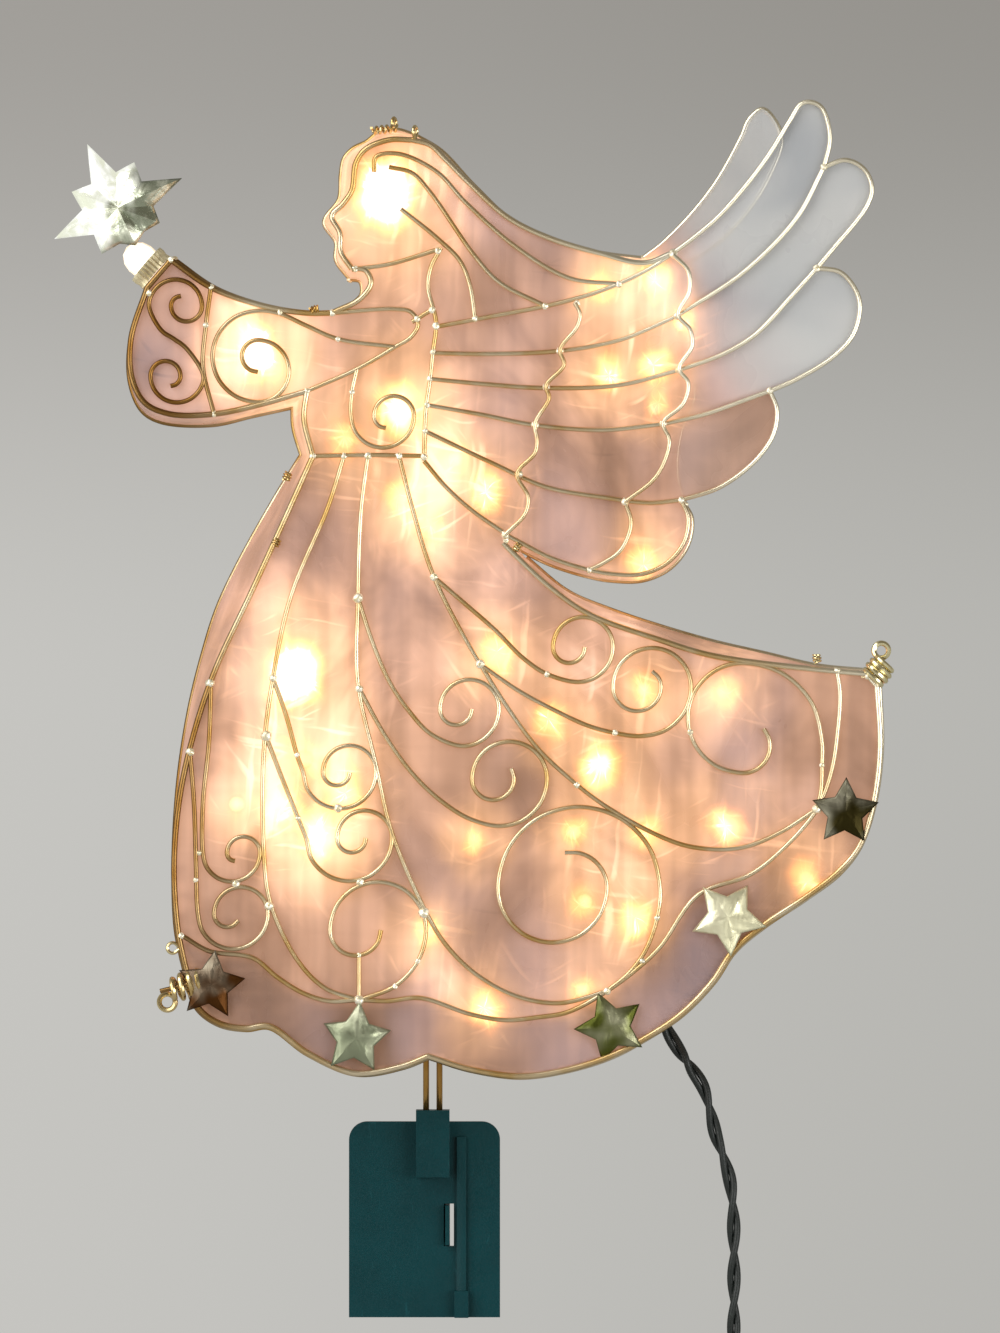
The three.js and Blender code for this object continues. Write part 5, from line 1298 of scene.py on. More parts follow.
def wand_foil_finish():
    """The wand's foil: a painted glow, burnt out white where its lamp shines past, silver green
    elsewhere, paler on its dents' rises and darker in their hollows as painted shade.
    """
    finish = Finish("Wand foil")
    dent = finish.noise(150, 3.0, 0.55, warp=0.6)
    lit = finish.part(2) * 0.42 - finish.part(0) + finish.noise(110, 2.0) * 0.016
    share = finish.ranged(lit, 0.2315, 0.2395)
    # The painted glow leaves out a spot round the star's middle
    middle = finish.vectors("DISTANCE", finish.stretched((1, 0, 1)), place(WAND_UNLIT_MIDDLE, 0), output=1)
    share = share * finish.ranged(middle + finish.noise(260, 2.0) * 0.004, 0.005, 0.0085)
    # Paler on the dents' rises and darker in their hollows: painted shade that follows the relief
    colour = finish.mixed(finish.ranged(dent, 0.42, 0.68), "#a4ab94", "#e6e9d4")
    white = finish.mixed(finish.ranged(dent, 0.35, 0.6), "#e9ead8", "#ffffff")
    return finish.principled(
        Base_Color=colour, Metallic=0.85, Roughness=finish.ranged(dent, 0.3, 0.7, 0.22, 0.42),
        Emission_Color=finish.mixed(share, (0, 0, 0, 1), white), Emission_Strength=0.8,
        Normal=finish.bump(dent, 0.0009, 0.7))


def bulb_finish(name, colour, strength):
    """A lit lamp's glass: white-hot round the filament, amber towards its edge."""
    finish = Finish(name)
    edge = finish.node("ShaderNodeLayerWeight", None, {"Blend": 0.4}, output=1)
    glow = finish.ramp(edge, (0.25, "#ffffff"), (0.6, colour), (1.0, "#e8923c"))
    return finish.principled(Base_Color="#fff0cf", Roughness=0.12, Emission_Color=glow,
                             Emission_Strength=strength, Coat_Weight=0.5)


def moulded_finish(name, colour, rough, pale, grain, shine=0.5):
    """Moulded plastic: fine orange-peel grain, a few scuffs and slightly uneven colour."""
    finish = Finish(name)
    grains = finish.noise(grain, 2.0, 0.6)
    cloud = finish.noise(60, 3.0, 0.6)
    scuff = finish.ranged(finish.noise(420, 3.0, 0.7, (1, 1, 0.2), 1.2), 0.62, 0.74)
    light = finish.mixed(0.28, colour, pale)
    toned = finish.mixed(finish.ranged(cloud, 0.35, 0.7), colour,
                         finish.mixed(0.16, colour, (0, 0, 0, 1)))
    return finish.principled(
        Base_Color=finish.mixed(scuff * 0.5, toned, light),
        Roughness=finish.ranged(grains, 0.3, 0.7, rough - 0.06, rough + 0.1) + scuff * 0.12,
        Specular_IOR_Level=shine,
        Normal=finish.bump(grains, 0.00008, 0.5))


def metal_finish(name, colour, rough):
    """Plain turned or pressed metal with fine scratches along it."""
    finish = Finish(name)
    scratch = finish.noise(1100, 3.0, 0.6, (1, 1, 0.08))
    dull = finish.mixed(0.3, colour, "#4a443a")
    return finish.principled(
        Base_Color=finish.mixed(finish.ranged(scratch, 0.5, 0.75), colour, dull), Metallic=1.0,
        Roughness=finish.ranged(scratch, 0.3, 0.7, rough, rough + 0.18),
        Normal=finish.bump(scratch, 0.00005, 0.6))


def seen_directly(finish):
    """1 for what the camera, metal and glass see, and 0 for the light that falls on things."""
    paths = [finish.node("ShaderNodeLightPath", output=title)
             for title in ("Is Camera Ray", "Is Glossy Ray", "Is Transmission Ray")]
    return (paths[0] + paths[1] + paths[2]).clamped()


def room_light(low_grey, high_grey, strength):
    """An even pale room: grey paper to the eye, darkened up and to the right by painted shade, and a
    dim light.
    """
    sky = Sky("Pale room")
    paper = sky.mixed(sky.ranged(sky.part(2), *GREY_RISES), low_grey, high_grey)
    aside = sky.ranged(sky.part(0), *GREY_ASIDE)
    paper = sky.mixed(aside, paper, sky.times(paper, "#ebebea"))
    paper_side = (sky.ranged(sky.part(1), *CAMERA_SIDE)
                  + sky.node("ShaderNodeLightPath", output="Is Camera Ray")).clamped()
    paper = sky.mixed(paper_side, CAMERA_SIDE_COLOUR, paper)
    dim = sky.mixed(1 - strength, "#e9eaec", (0, 0, 0, 1))
    light = sky.node("ShaderNodeBackground", None, {
        "Color": sky.mixed(seen_directly(sky), dim, paper), "Strength": 1.0})
    sky.node("ShaderNodeOutputWorld", None, {"Surface": light})
    return sky.world


def floor_finish(grey):
    """Pale paper with a fine grain, that keeps the topper's shadow."""
    finish = Finish("Floor paper")
    cloud = finish.noise(2.2, 2.0)
    colour = finish.mixed(finish.ranged(cloud, 0.3, 0.7) * 0.05, grey, "#9c9890")
    paper = finish.node("ShaderNodeBsdfPrincipled", None, {
        "Base Color": colour, "Roughness": 0.85,
        "Normal": finish.bump(finish.noise(900, 2.0), 0.0002, 0.3)})
    light = finish.node("ShaderNodeEmission", None, {"Color": colour, "Strength": 1.0})
    unlit = finish.ranged(finish.part(1), *FLOOR_UNLIT, 0.45, 1.0)
    mixed = finish.node("ShaderNodeMixShader", None, {
        0: seen_directly(finish) * unlit, 1: paper, 2: light})
    finish.node("ShaderNodeOutputMaterial", None, {"Surface": mixed})
    return finish.material


def length(name, description, default):
    """A size in mm that the sidebar shows."""
    return bpy.props.FloatProperty(name=name, description=description, default=default * MM,
                                   min=0, unit="LENGTH", precision=4)


def number(name, description, default, unit="NONE"):
    return bpy.props.FloatProperty(name=name, description=description, default=default, min=0,
                                   unit=unit)


def paint(name, description, code):
    return bpy.props.FloatVectorProperty(name=name, description=description, default=tint(code),
                                         subtype="COLOR", size=4, min=0, max=1)


class TopperWireSizes(bpy.types.PropertyGroup):
    outline_wire: length("Outline wire", "Diameter of the wire round the front frame", 2)
    scroll_wire: length("Scroll wire", "Diameter of the scrolls, ribs and stems", 1.6)
    scallop_wire: length("Scallop wire", "Diameter of the wing's scalloped wires", 1.5)
    clasp_wire: length("Clasp wire", "Diameter of the wound clasps' wire", 1.8)
    facets: bpy.props.IntProperty(
        name="Facets", description="Sides of every round wire", default=10, min=3)
    drop_flatness: number("Drop flatness", "Depth of a drop of solder as a share of its width",
                          0.72)
    lumpiness: length("Lumpiness", "How far the solder's surface wanders", 0.9)
    gold: paint("Gold", "Colour of the plated wire", "#f0e8d0")


class TopperFilmSizes(bpy.types.PropertyGroup):
    step: length("Step", "Spacing of the film sheets' points", 2.2)
    ripple: length("Ripple", "How far the film wanders off flat", 0.3)
    base: paint("Film", "Colour of the film in daylight", "#6b564c")
    # The feather tips' pale colour holds a painted reflection of the room
    tip: paint("Feather tips", "Colour of the film on the outer feathers", "#dcdbd8")
    back: paint("Back film", "Colour of the milky film behind", "#766052")


class TopperLampSizes(bpy.types.PropertyGroup):
    bulb_radius: length("Bulb radius", "Widest radius of a lamp's glass", 2.5)
    bulb_length: length("Bulb length", "Length of a lamp's glass out of its socket", 10.9)
    socket_radius: length("Socket radius", "Radius of a lamp's socket", 3.15)
    string_wire: length("String wire", "Diameter of each of the string's two wires", 0.9)
    brightness: number("Brightness", "How strongly the lamps glow", 4.0)


class TopperLeadSizes(bpy.types.PropertyGroup):
    strand: length("Strand", "Diameter of each of the lead's two strands", 2.3)
    half_twist: length("Half twist", "Length over which the strands change sides", 16.4)


class TopperStageSettings(bpy.types.PropertyGroup):
    camera_distance: number("Camera distance", "From the front frame to the camera", 3.0,
                            "LENGTH")
    side_light: number("Side light", "Power of each tall soft box", 19.0, "POWER")
    sky: number("Room light", "Strength of the even light from all round", 0.24)
    low_grey: paint("Background", "Grey of the room behind the skirt", "#c6c5c1")
    high_grey: paint("Background top", "Grey of the room above the wing", "#a19e99")


class TOPPER_OT_stage(bpy.types.Operator):
    """Set up the camera, the soft boxes, the pale room and the floor"""
    bl_idname = "topper.stage"
    bl_label = "Stage"

    def execute(self, context):
        stage = context.scene.topper_stage
        scene = context.scene
        scene.view_settings.view_transform = "Standard"
        camera = bpy.data.objects.new("Camera", bpy.data.cameras.new("Camera"))
        scene.collection.objects.link(camera)
        camera.data.lens = SENSOR * stage.camera_distance / (DRAWING_SHAPE * DRAWING_WIDTH)
        camera.data.sensor_width = SENSOR
        camera.data.clip_end = 20
        camera.location = place(DRAWING_MIDDLE, FRONT_WIRE_Y - stage.camera_distance)
        camera.rotation_euler = (math.pi / 2, 0, 0)
        scene.camera = camera
        for name, (spot, turn, width, height, power) in SOFT_BOXES.items():
            light = bpy.data.lights.new(name, "AREA")
            light.shape = "RECTANGLE"
            light.size = width
            light.size_y = height
            light.energy = stage.side_light * power
            holder = bpy.data.objects.new(name, light)
            scene.collection.objects.link(holder)
            holder.location = spot
            holder.rotation_euler = [math.radians(a) for a in turn]
        scene.world = room_light(list(stage.low_grey), list(stage.high_grey), stage.sky)
        left, right, front, back = FLOOR_EDGES
        floor_z = CAD_BOX[0][2] - 2 * MM
        mesh = bpy.data.meshes.new("Floor")
        mesh.from_pydata([(x, y, floor_z) for x, y in (
            (left, front), (right, front), (right, back), (left, back))], [], [(0, 1, 2, 3)])
        object_of("Floor", mesh, floor_finish(list(stage.low_grey)))
        return {"FINISHED"}


class TOPPER_OT_lead(bpy.types.Operator):
    """Twist the lead's two strands along its route, coil and tail"""
    bl_idname = "topper.lead"
    bl_label = "Lead"

    def execute(self, context):
        sizes = context.scene.topper_lead
        points = [Vector(p) * MM for p in (*LEAD_ROUTE, *lead_coil(), *TAIL)]
        path = spline(points, LEAD_STEP)
        twisted = bmesh.new()
        for strand in (0, 1):
            tube_between(twisted, twisted_strand(path, strand, sizes), sizes.strand / 2, 8)
        lead = object_from("lead_twisted", twisted, moulded_finish(
            "Lead insulation", "#141c18", 0.46, "#5c665f", 2600.0), sharp=60)
        carried(lead, "topper", "lead_green", "lead", "lead_coil", "lead_end")
        length = sum((b - a).length for a, b in zip(path, path[1:]))
        tuple(path[0])
        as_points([tuple(p) for p in path[::4]] +
                [tuple(path[-1])])
        return {"FINISHED"}


def lead_coil():
    """Places in mm along the lead's coil, from its first turn to its last."""
    places = []
    for i in range(COIL_TURNS * COIL_STEPS + 1):
        turn = i / COIL_STEPS
        back = COIL_PITCH * (4 / 3 * turn - 1 if turn < 3 else COIL_TURNS - turn)
        share = min(max(turn - 2.5, 0), 1)
        radius = COIL_RADIUS + COIL_PITCH * share * share * (3 - 2 * share)
        angle = -2 * math.pi * turn
        places.append((COIL_MIDDLE[0] + radius * math.cos(angle), COIL_MIDDLE[1] + back,
                       COIL_MIDDLE[2] + radius * math.sin(angle)))
    return places


def twisted_strand(path, strand, sizes):
    """One of the two strands, which change sides at each half twist and open out near the top."""
    stations = []
    run = (path[1] - path[0]).normalized()
    side = Vector((0, 1, 0)).cross(run).normalized()
    gone = 0.0
    for i, station in enumerate(path):
        new_run = (path[min(i + 1, len(path) - 1)] - path[max(i - 1, 0)]).normalized()
        side = run.rotation_difference(new_run) @ side
        run = new_run
        if i:
            gone += (station - path[i - 1]).length
        angle = math.pi * (gone / sizes.half_twist + strand + STRANDS_START)
        opening = math.exp(-((gone - OPENING_AT) / OPENING_LENGTH) ** 2)
        offset = sizes.strand / 2 * (1 + OPENING * opening)
        stations.append(station + (side * math.cos(angle) + run.cross(side) * math.sin(angle))
                        * offset)
    return stations


def front_wires(sizes):
    """The soldered groups of the front frame: node, wires, and the drops that hold them."""
    line, edge = sizes.scroll_wire, sizes.outline_wire
    ribs = [[root, tip[::-1]] for root, tip in zip(WING_RIBS, (
        FEATHER_2, FEATHER_3_ROOT, FEATHER_4_ROOT, FEATHER_5_ROOT, FEATHER_6_ROOT))]
    outline = [[HAIR_TOP, FACE], [NECK, SLEEVE_TOP], [SLEEVE_END, SLEEVE_UNDER],
               [BODICE_SIDE, SKIRT_SIDE, HEM_LEFT, HEM_RIGHT, SKIRT_TOP]]
    wing = [*ribs, [WING_RIBS[5], WING_UNDER], *[[wire] for wire in (
        FEATHER_3, FEATHER_4, FEATHER_5, INNER_FEATHER, WING_ROOT, *HAIR_STRANDS)]]
    sleeve = [*scroll("sleeve_upper")[::-1], *SLEEVE_BEND, *scroll("sleeve_lower")]
    skirt = [WAIST, RIB_1, RIB_2, RIB_3, INNER_HEM, STAR_POST,
             *[scroll(name) for name in SCROLLS if name.startswith("rib")]]
    return {
        "front_outline": [(wire, edge) for wire in outline] + [
            ([wire], line) for wire in (JAW, *CLASP_STEMS)],
        "wing_ribs": [(wire, line) for wire in wing],
        "bodice_wires": [([wire], line) for wire in (
            SLEEVE_CUFF, SHOULDER_TIE, scroll("bodice"), scroll("sleeve"))],
        "sleeve_scrolls": [([wire], line) for wire in (SLEEVE_DIVIDER, sleeve)],
        "side_scroll_upper": [([scroll("side_upper")], line)],
        "side_scroll_lower": [([scroll("side_lower")], line)],
        "skirt_scrollwork": [([wire], line) for wire in skirt],
    }


class TOPPER_OT_wires(bpy.types.Operator):
    """Bend and solder the front frame's wires, the scallops and the back frame"""
    bl_idname = "topper.wires"
    bl_label = "Wires"

    def execute(self, context):
        sizes = context.scene.topper_wires
        # The last colour darkens the wires at the skirt's left as painted shade
        gold = gold_wire_finish("Gold wire", list(sizes.gold), 0.33, "#ab9470")
        solder = solder_finish()
        shape = soldered_wire_tree()

        def soldered(node, wires, joints, y, joint_y, seed):
            obj = object_of(node + "_soldered", skeleton(node, wires, joints, y, joint_y))
            shape.made_on(obj, Facets=sizes.facets, Drop_Flatness=sizes.drop_flatness,
                          Lumpiness=sizes.lumpiness, Seed=float(seed), Wire_Finish=gold,
                          Solder_Finish=solder)
            carried(obj, "topper", "gold_wire", node)

        lift = FRONT_WIRE_Y - 0.25 * MM
        for seed, (node, wires) in enumerate(front_wires(sizes).items()):
            joints = JOINTS if node == "skirt_scrollwork" else ()
            soldered(node, wires, joints, FRONT_WIRE_Y, lift, seed)
        for seed, (node, stretch, joints) in enumerate((
                ("scallop_inner", INNER_SCALLOP, SCALLOP_JOINTS[5:]),
                ("scallop_middle", MIDDLE_SCALLOP, SCALLOP_JOINTS[:5]))):
            soldered(node, [([stretch], sizes.scallop_wire)], joints, SCALLOP_Y,
                     SCALLOP_Y + 0.5 * MM, seed + 20)
        back = [[BACK_HAIR_TOP, BACK_FACE], [BACK_NECK, BACK_SLEEVE_TOP],
                [BACK_SLEEVE_END, BACK_SLEEVE_UNDER],
                [BACK_BODICE, BACK_SKIRT_SIDE, BACK_HEM_LEFT, BACK_HEM_RIGHT, BACK_SKIRT_TOP],
                [BACK_WING_UNDER], [BACK_WING_EDGE], [BACK_FEATHER]]
        ends = [(*stretches[0][0], 13) for stretches in back]
        soldered("back_frame", [(stretches, sizes.outline_wire) for stretches in back],
                 ends, BACK_WIRE_Y, BACK_WIRE_Y, 30)
        return {"FINISHED"}


class TOPPER_OT_films(bpy.types.Operator):
    """Cut the front and back film and rule the band of film between the frames"""
    bl_idname = "topper.films"
    bl_label = "Films"

    def execute(self, context):
        sizes = context.scene.topper_film
        front = film_sheet("front_film_sheet", (
            FACE, NECK, SLEEVE_TOP, SLEEVE_END, SLEEVE_UNDER, BODICE_SIDE, SKIRT_SIDE, HEM_LEFT,
            HEM_RIGHT, SKIRT_TOP, WING_UNDER, FEATHER_5, FEATHER_4, FEATHER_3, FEATHER_2,
            HAIR_TOP), FRONT_FILM_Y, sizes.step, sizes.ripple)
        finish = film_finish("Front film", list(sizes.base), list(sizes.tip), floor=0.3,
                             opacity=0.86, tip_opacity=0.5)
        carried(object_of("front_film_sheet", front, finish), "topper", "film", "front_film")
        holes = [(px, py, HOLE_RADIUS) for px, py, *_ in LAMPS]
        back = film_sheet("back_film_sheet", (
            BACK_FACE, BACK_NECK, BACK_SLEEVE_TOP, BACK_SLEEVE_END, BACK_SLEEVE_UNDER,
            BACK_BODICE, BACK_SKIRT_SIDE, BACK_HEM_LEFT, BACK_HEM_RIGHT, BACK_SKIRT_TOP,
            BACK_WING_UNDER, BACK_WING_EDGE[:-1], BACK_FEATHER, BACK_HAIR_TOP),
            BACK_FILM_Y, sizes.step, sizes.ripple, holes)
        finish = film_finish("Back film", list(sizes.back), list(sizes.tip), floor=0.32,
                             opacity=0.9, tip_opacity=0.5)
        carried(object_of("back_film_sheet", back, finish), "topper", "back_film", "back_film")
        finish = film_finish("Band film", list(sizes.base), list(sizes.tip), floor=0.28,
                             opacity=0.66, tip_opacity=0.4)
        bands = {
            "band_head": ((FACE, BACK_FACE), (NECK, BACK_NECK)),
            "band_sleeve": ((SLEEVE_TOP, BACK_SLEEVE_TOP), (SLEEVE_END, BACK_SLEEVE_END),
                            (SLEEVE_UNDER, BACK_SLEEVE_UNDER)),
            "band_skirt_side": ((BODICE_SIDE, BACK_BODICE), (SKIRT_SIDE, BACK_SKIRT_SIDE)),
            "band_hem_left": ((HEM_LEFT, BACK_HEM_LEFT),),
            "band_hem_right": ((HEM_RIGHT, BACK_HEM_RIGHT),),
            "band_skirt_top": ((SKIRT_TOP, BACK_SKIRT_TOP),),
            "band_wing": ((WING_UNDER, BACK_WING_UNDER), (WING_EDGE, BACK_WING_EDGE)),
            "band_hair": ((HAIR_TOP, BACK_HAIR_EDGE),),
        }
        for node, pairs in bands.items():
            low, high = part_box(node)
            bm = bmesh.new()
            band_sheet(bm, pairs, low[1], high[1], sizes.ripple * 1.5)
            carried(object_from(node + "_sheet", bm, finish, sharp=60), "topper", "film", node)
        return {"FINISHED"}


class TOPPER_OT_stars(bpy.types.Operator):
    """Stamp the five foil stars of the hem and the wand's eight-pointed one"""
    bl_idname = "topper.stars"
    bl_label = "Stars"

    def execute(self, context):
        for i, (px, py, radius, heading, code, folds) in enumerate(HEM_STARS):
            radii = [radius * MM * (HEM_VALLEY if k % 2 else 1) for k in range(10)]
            # Each star's foil colour holds a painted reflection of its surroundings
            self.foil(f"hem_star_{i + 1}", foil_finish(f"Star foil {i + 1}", code), radii, heading,
                      place((px, py), STAR_Y), folds, dome=0.7 * MM, ridge=0.25 * MM,
                      crumple=0.5 * MM, seed=i * 3.7)
        middle = place(WAND_MIDDLE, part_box("wand_star")[1][1] - MM)
        self.foil("wand_star", wand_foil_finish(), [r * MM for r in WAND_RADII], WAND_HEADING,
                  middle, WAND_FOLDS, dome=1.6 * MM, ridge=1.3 * MM, crumple=0.9 * MM, seed=2.2)
        return {"FINISHED"}

    def foil(self, node, finish, *shape, **relief):
        """Stamps one star, gives it its foil's thickness and lets it stand for its node."""
        bm = bmesh.new()
        foil_star(bm, *shape, **relief)
        star = object_from(node + "_foil", bm, finish, sharp=24)
        wall = star.modifiers.new("Foil", "SOLIDIFY")
        wall.thickness = FOIL
        wall.offset = 0
        plain_mesh(star)
        carried(star, "topper", "foil", node)


class TOPPER_OT_wand(bpy.types.Operator):
    """Make the wand's lamp and the crinkled ring of foil round its foot"""
    bl_idname = "topper.wand"
    bl_label = "Wand"

    def execute(self, context):
        turn = aimed(place(WAND_BASE, LANTERN_Y), place(WAND_TIP, LANTERN_Y))
        bm = bmesh.new()
        lathed(bm, [(WAND_GLASS_RADIUS * share, z * MM) for share, z in WAND_GLASS], 14, turn)
        lamp = object_from("wand_lamp_glass", bm, bulb_finish("Wand lamp", "#fff6dc", 1.0),
                           smooth=False)
        carried(lamp, "topper", "lamp_white", "wand_lamp")
        bm = bmesh.new()
        lathed(bm, [(r * MM, z * MM) for r, z in WAND_CUFF], 56, turn, CUFF_FLUTES)
        bmesh.ops.remove_doubles(bm, verts=bm.verts, dist=MERGED)
        cuff = object_from("wand_cuff_ring", bm, foil_finish("Cuff foil", "#ddd2ac"), sharp=50)
        carried(cuff, "topper", "gold_wire", "wand_cuff")
        return {"FINISHED"}


class TOPPER_OT_lamps(bpy.types.Operator):
    """Set the lamps in their sockets and lay the string's two wires from one to the next"""
    bl_idname = "topper.lamps"
    bl_label = "Lamps"

    def execute(self, context):
        sizes = context.scene.topper_lamps
        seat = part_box("bulb_1")[1][1]
        forward = Matrix.Rotation(math.pi / 2, 4, "X")
        glass = [(sizes.bulb_radius * r, sizes.bulb_length * z) for r, z in LAMP_GLASS]
        bulbs = bmesh.new()
        for lamp in LAMPS:
            lathed(bulbs, glass, 12, Matrix.Translation(place(lamp, seat)) @ forward)
        lit = object_from("lamp_glasses", bulbs,
                          bulb_finish("Lamp glass", "#ffd28a", sizes.brightness), sharp=60)
        carried(lit, "topper", "bulb_glass", *[f"bulb_{k + 1}" for k in range(CAD_LAMPS)])
        string = bmesh.new()
        backward = Matrix.Rotation(-math.pi / 2, 4, "X")
        profile = socket_profile(sizes.socket_radius, seat + CLEARANCE)
        for lamp in LAMPS:
            lathed(string, profile, 14, Matrix.Translation(place(lamp, 0)) @ backward)
        for line in string_wires(sizes.string_wire / 2):
            tube_between(string, line, sizes.string_wire / 2, 5)
        obj = object_from("light_string_twisted", string, moulded_finish(
            "String green", "#1f3a2a", 0.42, "#6f8a78", 2400.0), sharp=35)
        carried(obj, "topper", "string_green", "light_string")
        return {"FINISHED"}


def socket_profile(radius, front):
    """A lamp's socket, turned: its ribs, its flange behind the back film, and its tail."""
    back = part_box("light_string")[1][1]
    flange = BACK_FILM_Y + FLANGE_BACK
    profile = [(0, front), (radius, front)]
    for k in range(SOCKET_RIBS):
        rib = front + (1 + RIB_PITCH * k) * MM
        profile += [(radius * share, rib + z * MM) for share, z in SOCKET_RIB]
    return profile + [
        (radius, flange), (radius * FLANGE_SHARE, flange), (radius * FLANGE_SHARE, flange + FLANGE),
        (radius, flange + FLANGE), (radius * 0.92, back - 0.6 * MM), (radius * 0.8, back),
        (0, back)]


def string_wires(radius):
    """The string's two wires, twisted, from lamp to lamp with a slight sag, and to the splice."""
    route = []
    for lamp, following in zip(LAMPS, LAMPS[1:]):
        here, there = place(lamp, STRING_Y), place(following, STRING_Y)
        route += [here, (here + there) / 2 - Vector((0, 0, STRING_SAG))]
    low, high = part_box("splice")
    route += [place(LAMPS[-1], STRING_Y),
              Vector((low[0] - CLEARANCE, STRING_Y, (low[2] + high[2]) / 2))]
    path = spline(route, STRING_STEP)
    for strand in (0, 1):
        line = []
        for i, p in enumerate(path):
            ahead = path[min(i + 1, len(path) - 1)] - path[max(i - 1, 0)]
            side = Vector((0, 1, 0)).cross(ahead).normalized()
            angle = i * STRING_TURN + strand * math.pi
            line.append(p + (side * math.cos(angle) + Vector((0, math.sin(angle), 0))) * radius)
        yield line


class TOPPER_OT_clasps(bpy.types.Operator):
    """Wind the two clasps, the wound wire on the head and the bits of tie wire"""
    bl_idname = "topper.clasps"
    bl_label = "Clasps"

    def execute(self, context):
        radius = context.scene.topper_wires.clasp_wire / 2
        gold = gold_wire_finish("Clasp wire", "#eadfb2", 0.24)
        for node, (start, end, pitch, ring, back) in CLASPS.items():
            y = CLASP_Y + back * MM
            bm = bmesh.new()
            line = helix(place(start, y), place(end, y), CLASP_RADIUS, pitch * MM, 20, ring * MM,
                         CLASP_BREADTH)
            tube_between(bm, line, radius, 8)
            carried(object_from(node + "_wound", bm, gold), "topper", "gold_wire", node)
        bm = bmesh.new()
        start, end = (place(p, LANTERN_Y) for p in HEAD_WINDING)
        tube_between(bm, helix(start, end, HEAD_RADIUS, HEAD_PITCH, 16), HEAD_WIRE, 7)
        carried(object_from("head_winding_wound", bm, gold), "topper", "gold_wire",
                "head_winding")
        bm = bmesh.new()
        for base, heading, lean, behind in WIRE_EYES:
            tube_between(bm, wire_eye(place(base, BACK_WIRE_Y if behind else FRONT_WIRE_Y),
                                      math.radians(heading), math.radians(lean)), EYE_WIRE, 8)
        for px, py, lean in EDGE_TIES:
            way = Vector((math.cos(math.radians(lean)), 0, math.sin(math.radians(lean))))
            start = place((px, py), FRONT_WIRE_Y) - way * TIE_START
            tube_between(bm, helix(start, start + way * TIE_LENGTH, TIE_RADIUS, TIE_PITCH, 14),
                         TIE_WIRE, 6)
        carried(object_from("wire_eyes_and_ties", bm, gold), "topper", "gold_wire")
        return {"FINISHED"}


def wire_eye(base, heading, lean):
    """Stations of a teardrop eye on the frame, pointing along the heading."""
    out = Vector((math.cos(heading), 0, math.sin(heading)))
    aside = Matrix.Rotation(lean, 3, out) @ Vector((-math.sin(heading), 0, math.cos(heading)))
    stations = [base]
    for degrees in range(-140, 141, 10):
        angle = math.radians(degrees)
        stations.append(base + out * (EYE_REACH + EYE_RADIUS * math.cos(angle))
                        + aside * (EYE_RADIUS * math.sin(angle)))
    return spline(stations + [base + aside * 0.3 * MM], 0.5 * MM)


class TOPPER_OT_clamp(bpy.types.Operator):
    """Mould the clamp's plate and strap, and fit its pin and the stand wire"""
    bl_idname = "topper.clamp"
    bl_label = "Clamp"

    def execute(self, context):
        teal = moulded_finish("Clamp teal", "#00363a", 0.36, "#14656c", 1500.0, 0.22)
        for node, (width, body) in CLAMP_PIECES.items():
            carried(moulded_copy(node + "_moulded", node, width * MM, teal), body, "clamp_teal",
                    node)
        steel = metal_finish("Pin steel", "#a3a29d", 0.26)
        carried(moulded_copy("hinge_pin_turned", "hinge_pin", 0.25 * MM, steel), "topper",
                "pin_steel", "hinge_pin")
        gold = gold_wire_finish("Stand wire gold", "#c9a868", 0.3)
        carried(moulded_copy("stand_wire_bent", "stand_wire", 0, gold, sharp=80), "topper",
                "gold_wire", "stand_wire")
        return {"FINISHED"}


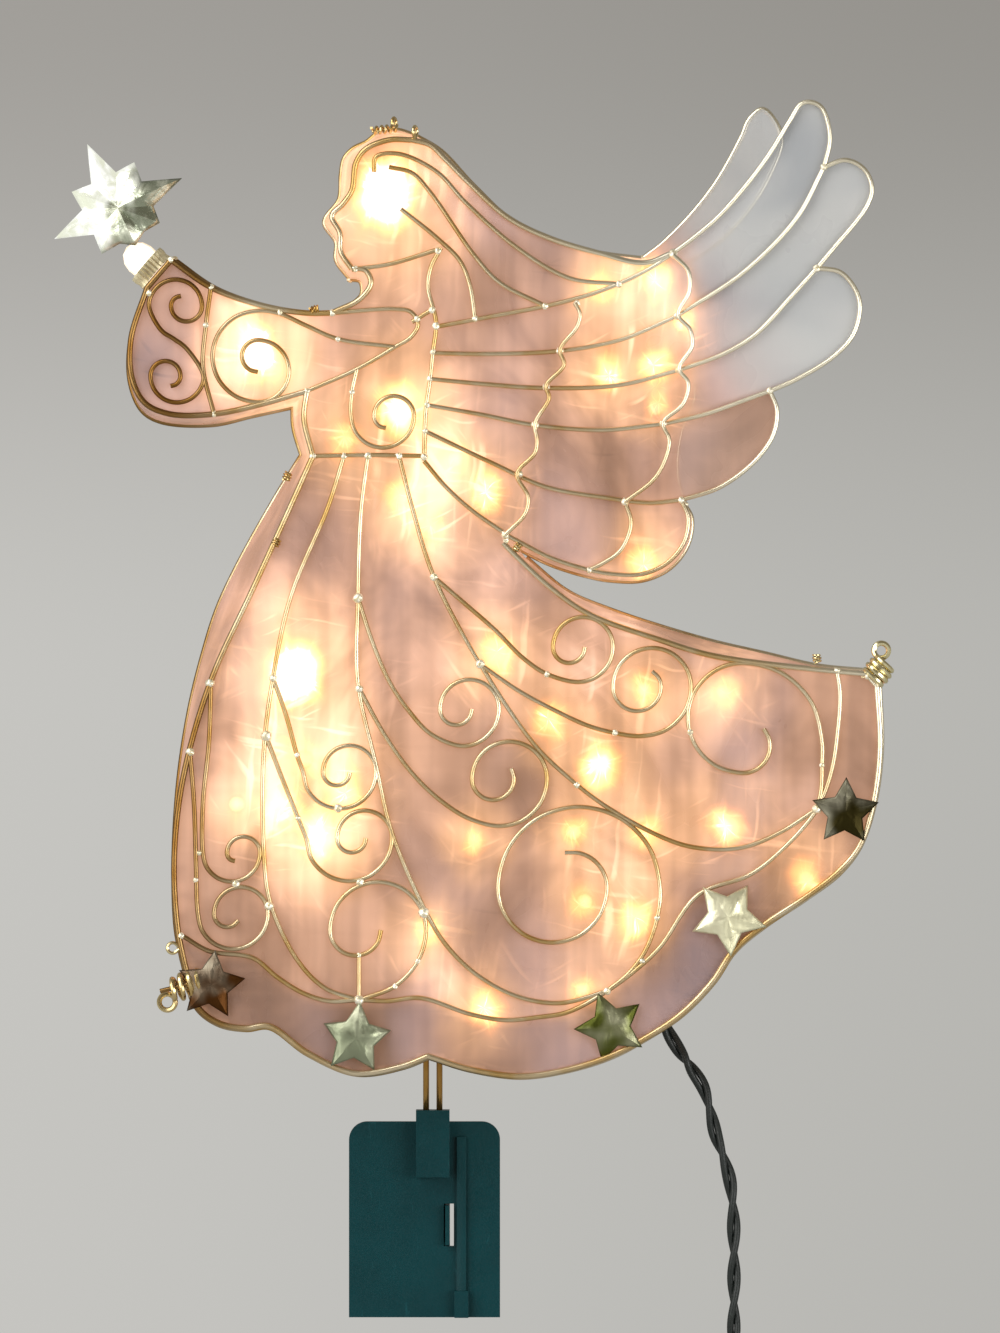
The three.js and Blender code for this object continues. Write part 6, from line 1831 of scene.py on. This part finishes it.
class TOPPER_OT_plug(bpy.types.Operator):
    """Mould the splice, its relief, the plug, its fuse cover and the coil's tie"""
    bl_idname = "topper.plug"
    bl_label = "Plug"

    def execute(self, context):
        green = moulded_finish("Plug green", "#18261f", 0.38, "#76877c", 1500.0)
        for node, (width, body) in PLUG_PIECES.items():
            carried(moulded_copy(node + "_moulded", node, width * MM, green), body, "plug_green",
                    node)
        brass = metal_finish("Blade brass", "#c9a55a", 0.24)
        for node in ("plug_blade_left", "plug_blade_right"):
            carried(moulded_copy(node + "_pressed", node, 0.25 * MM, brass), "topper",
                    "blade_brass", node)
        return {"FINISHED"}


class TOPPER_PT_panel(bpy.types.Panel):
    """The topper's steps and sizes in the sidebar"""
    bl_idname = "TOPPER_PT_panel"
    bl_label = "Angel tree topper"
    bl_space_type = "VIEW_3D"
    bl_region_type = "UI"
    bl_category = "Topper"

    def draw(self, context):
        for step in STEPS:
            self.layout.operator(step.bl_idname)
        for title in SETTINGS:
            group = getattr(context.scene, title)
            box = self.layout.box()
            for name in group.__annotations__:
                box.prop(group, name)


SETTINGS = {
    "topper_wires": TopperWireSizes, "topper_film": TopperFilmSizes,
    "topper_lamps": TopperLampSizes, "topper_lead": TopperLeadSizes,
    "topper_stage": TopperStageSettings,
}
STEPS = (
    TOPPER_OT_stage, TOPPER_OT_lead, TOPPER_OT_wires, TOPPER_OT_films, TOPPER_OT_stars,
    TOPPER_OT_wand, TOPPER_OT_lamps, TOPPER_OT_clasps, TOPPER_OT_clamp, TOPPER_OT_plug,
)


def register():
    for kind in (*SETTINGS.values(), *STEPS, TOPPER_PT_panel):
        bpy.utils.register_class(kind)
    for title, kind in SETTINGS.items():
        setattr(bpy.types.Scene, title, bpy.props.PointerProperty(type=kind))


def unregister():
    for title in SETTINGS:
        delattr(bpy.types.Scene, title)
    for kind in reversed((*SETTINGS.values(), *STEPS, TOPPER_PT_panel)):
        bpy.utils.unregister_class(kind)


def main():
    register()
    bpy.ops.topper.stage()
    bpy.ops.topper.plug()
    bpy.ops.topper.lead()
    bpy.ops.topper.wires()
    bpy.ops.topper.films()
    bpy.ops.topper.stars()
    bpy.ops.topper.wand()
    bpy.ops.topper.lamps()
    bpy.ops.topper.clasps()
    bpy.ops.topper.clamp()


if __name__ == "__main__":
    main()
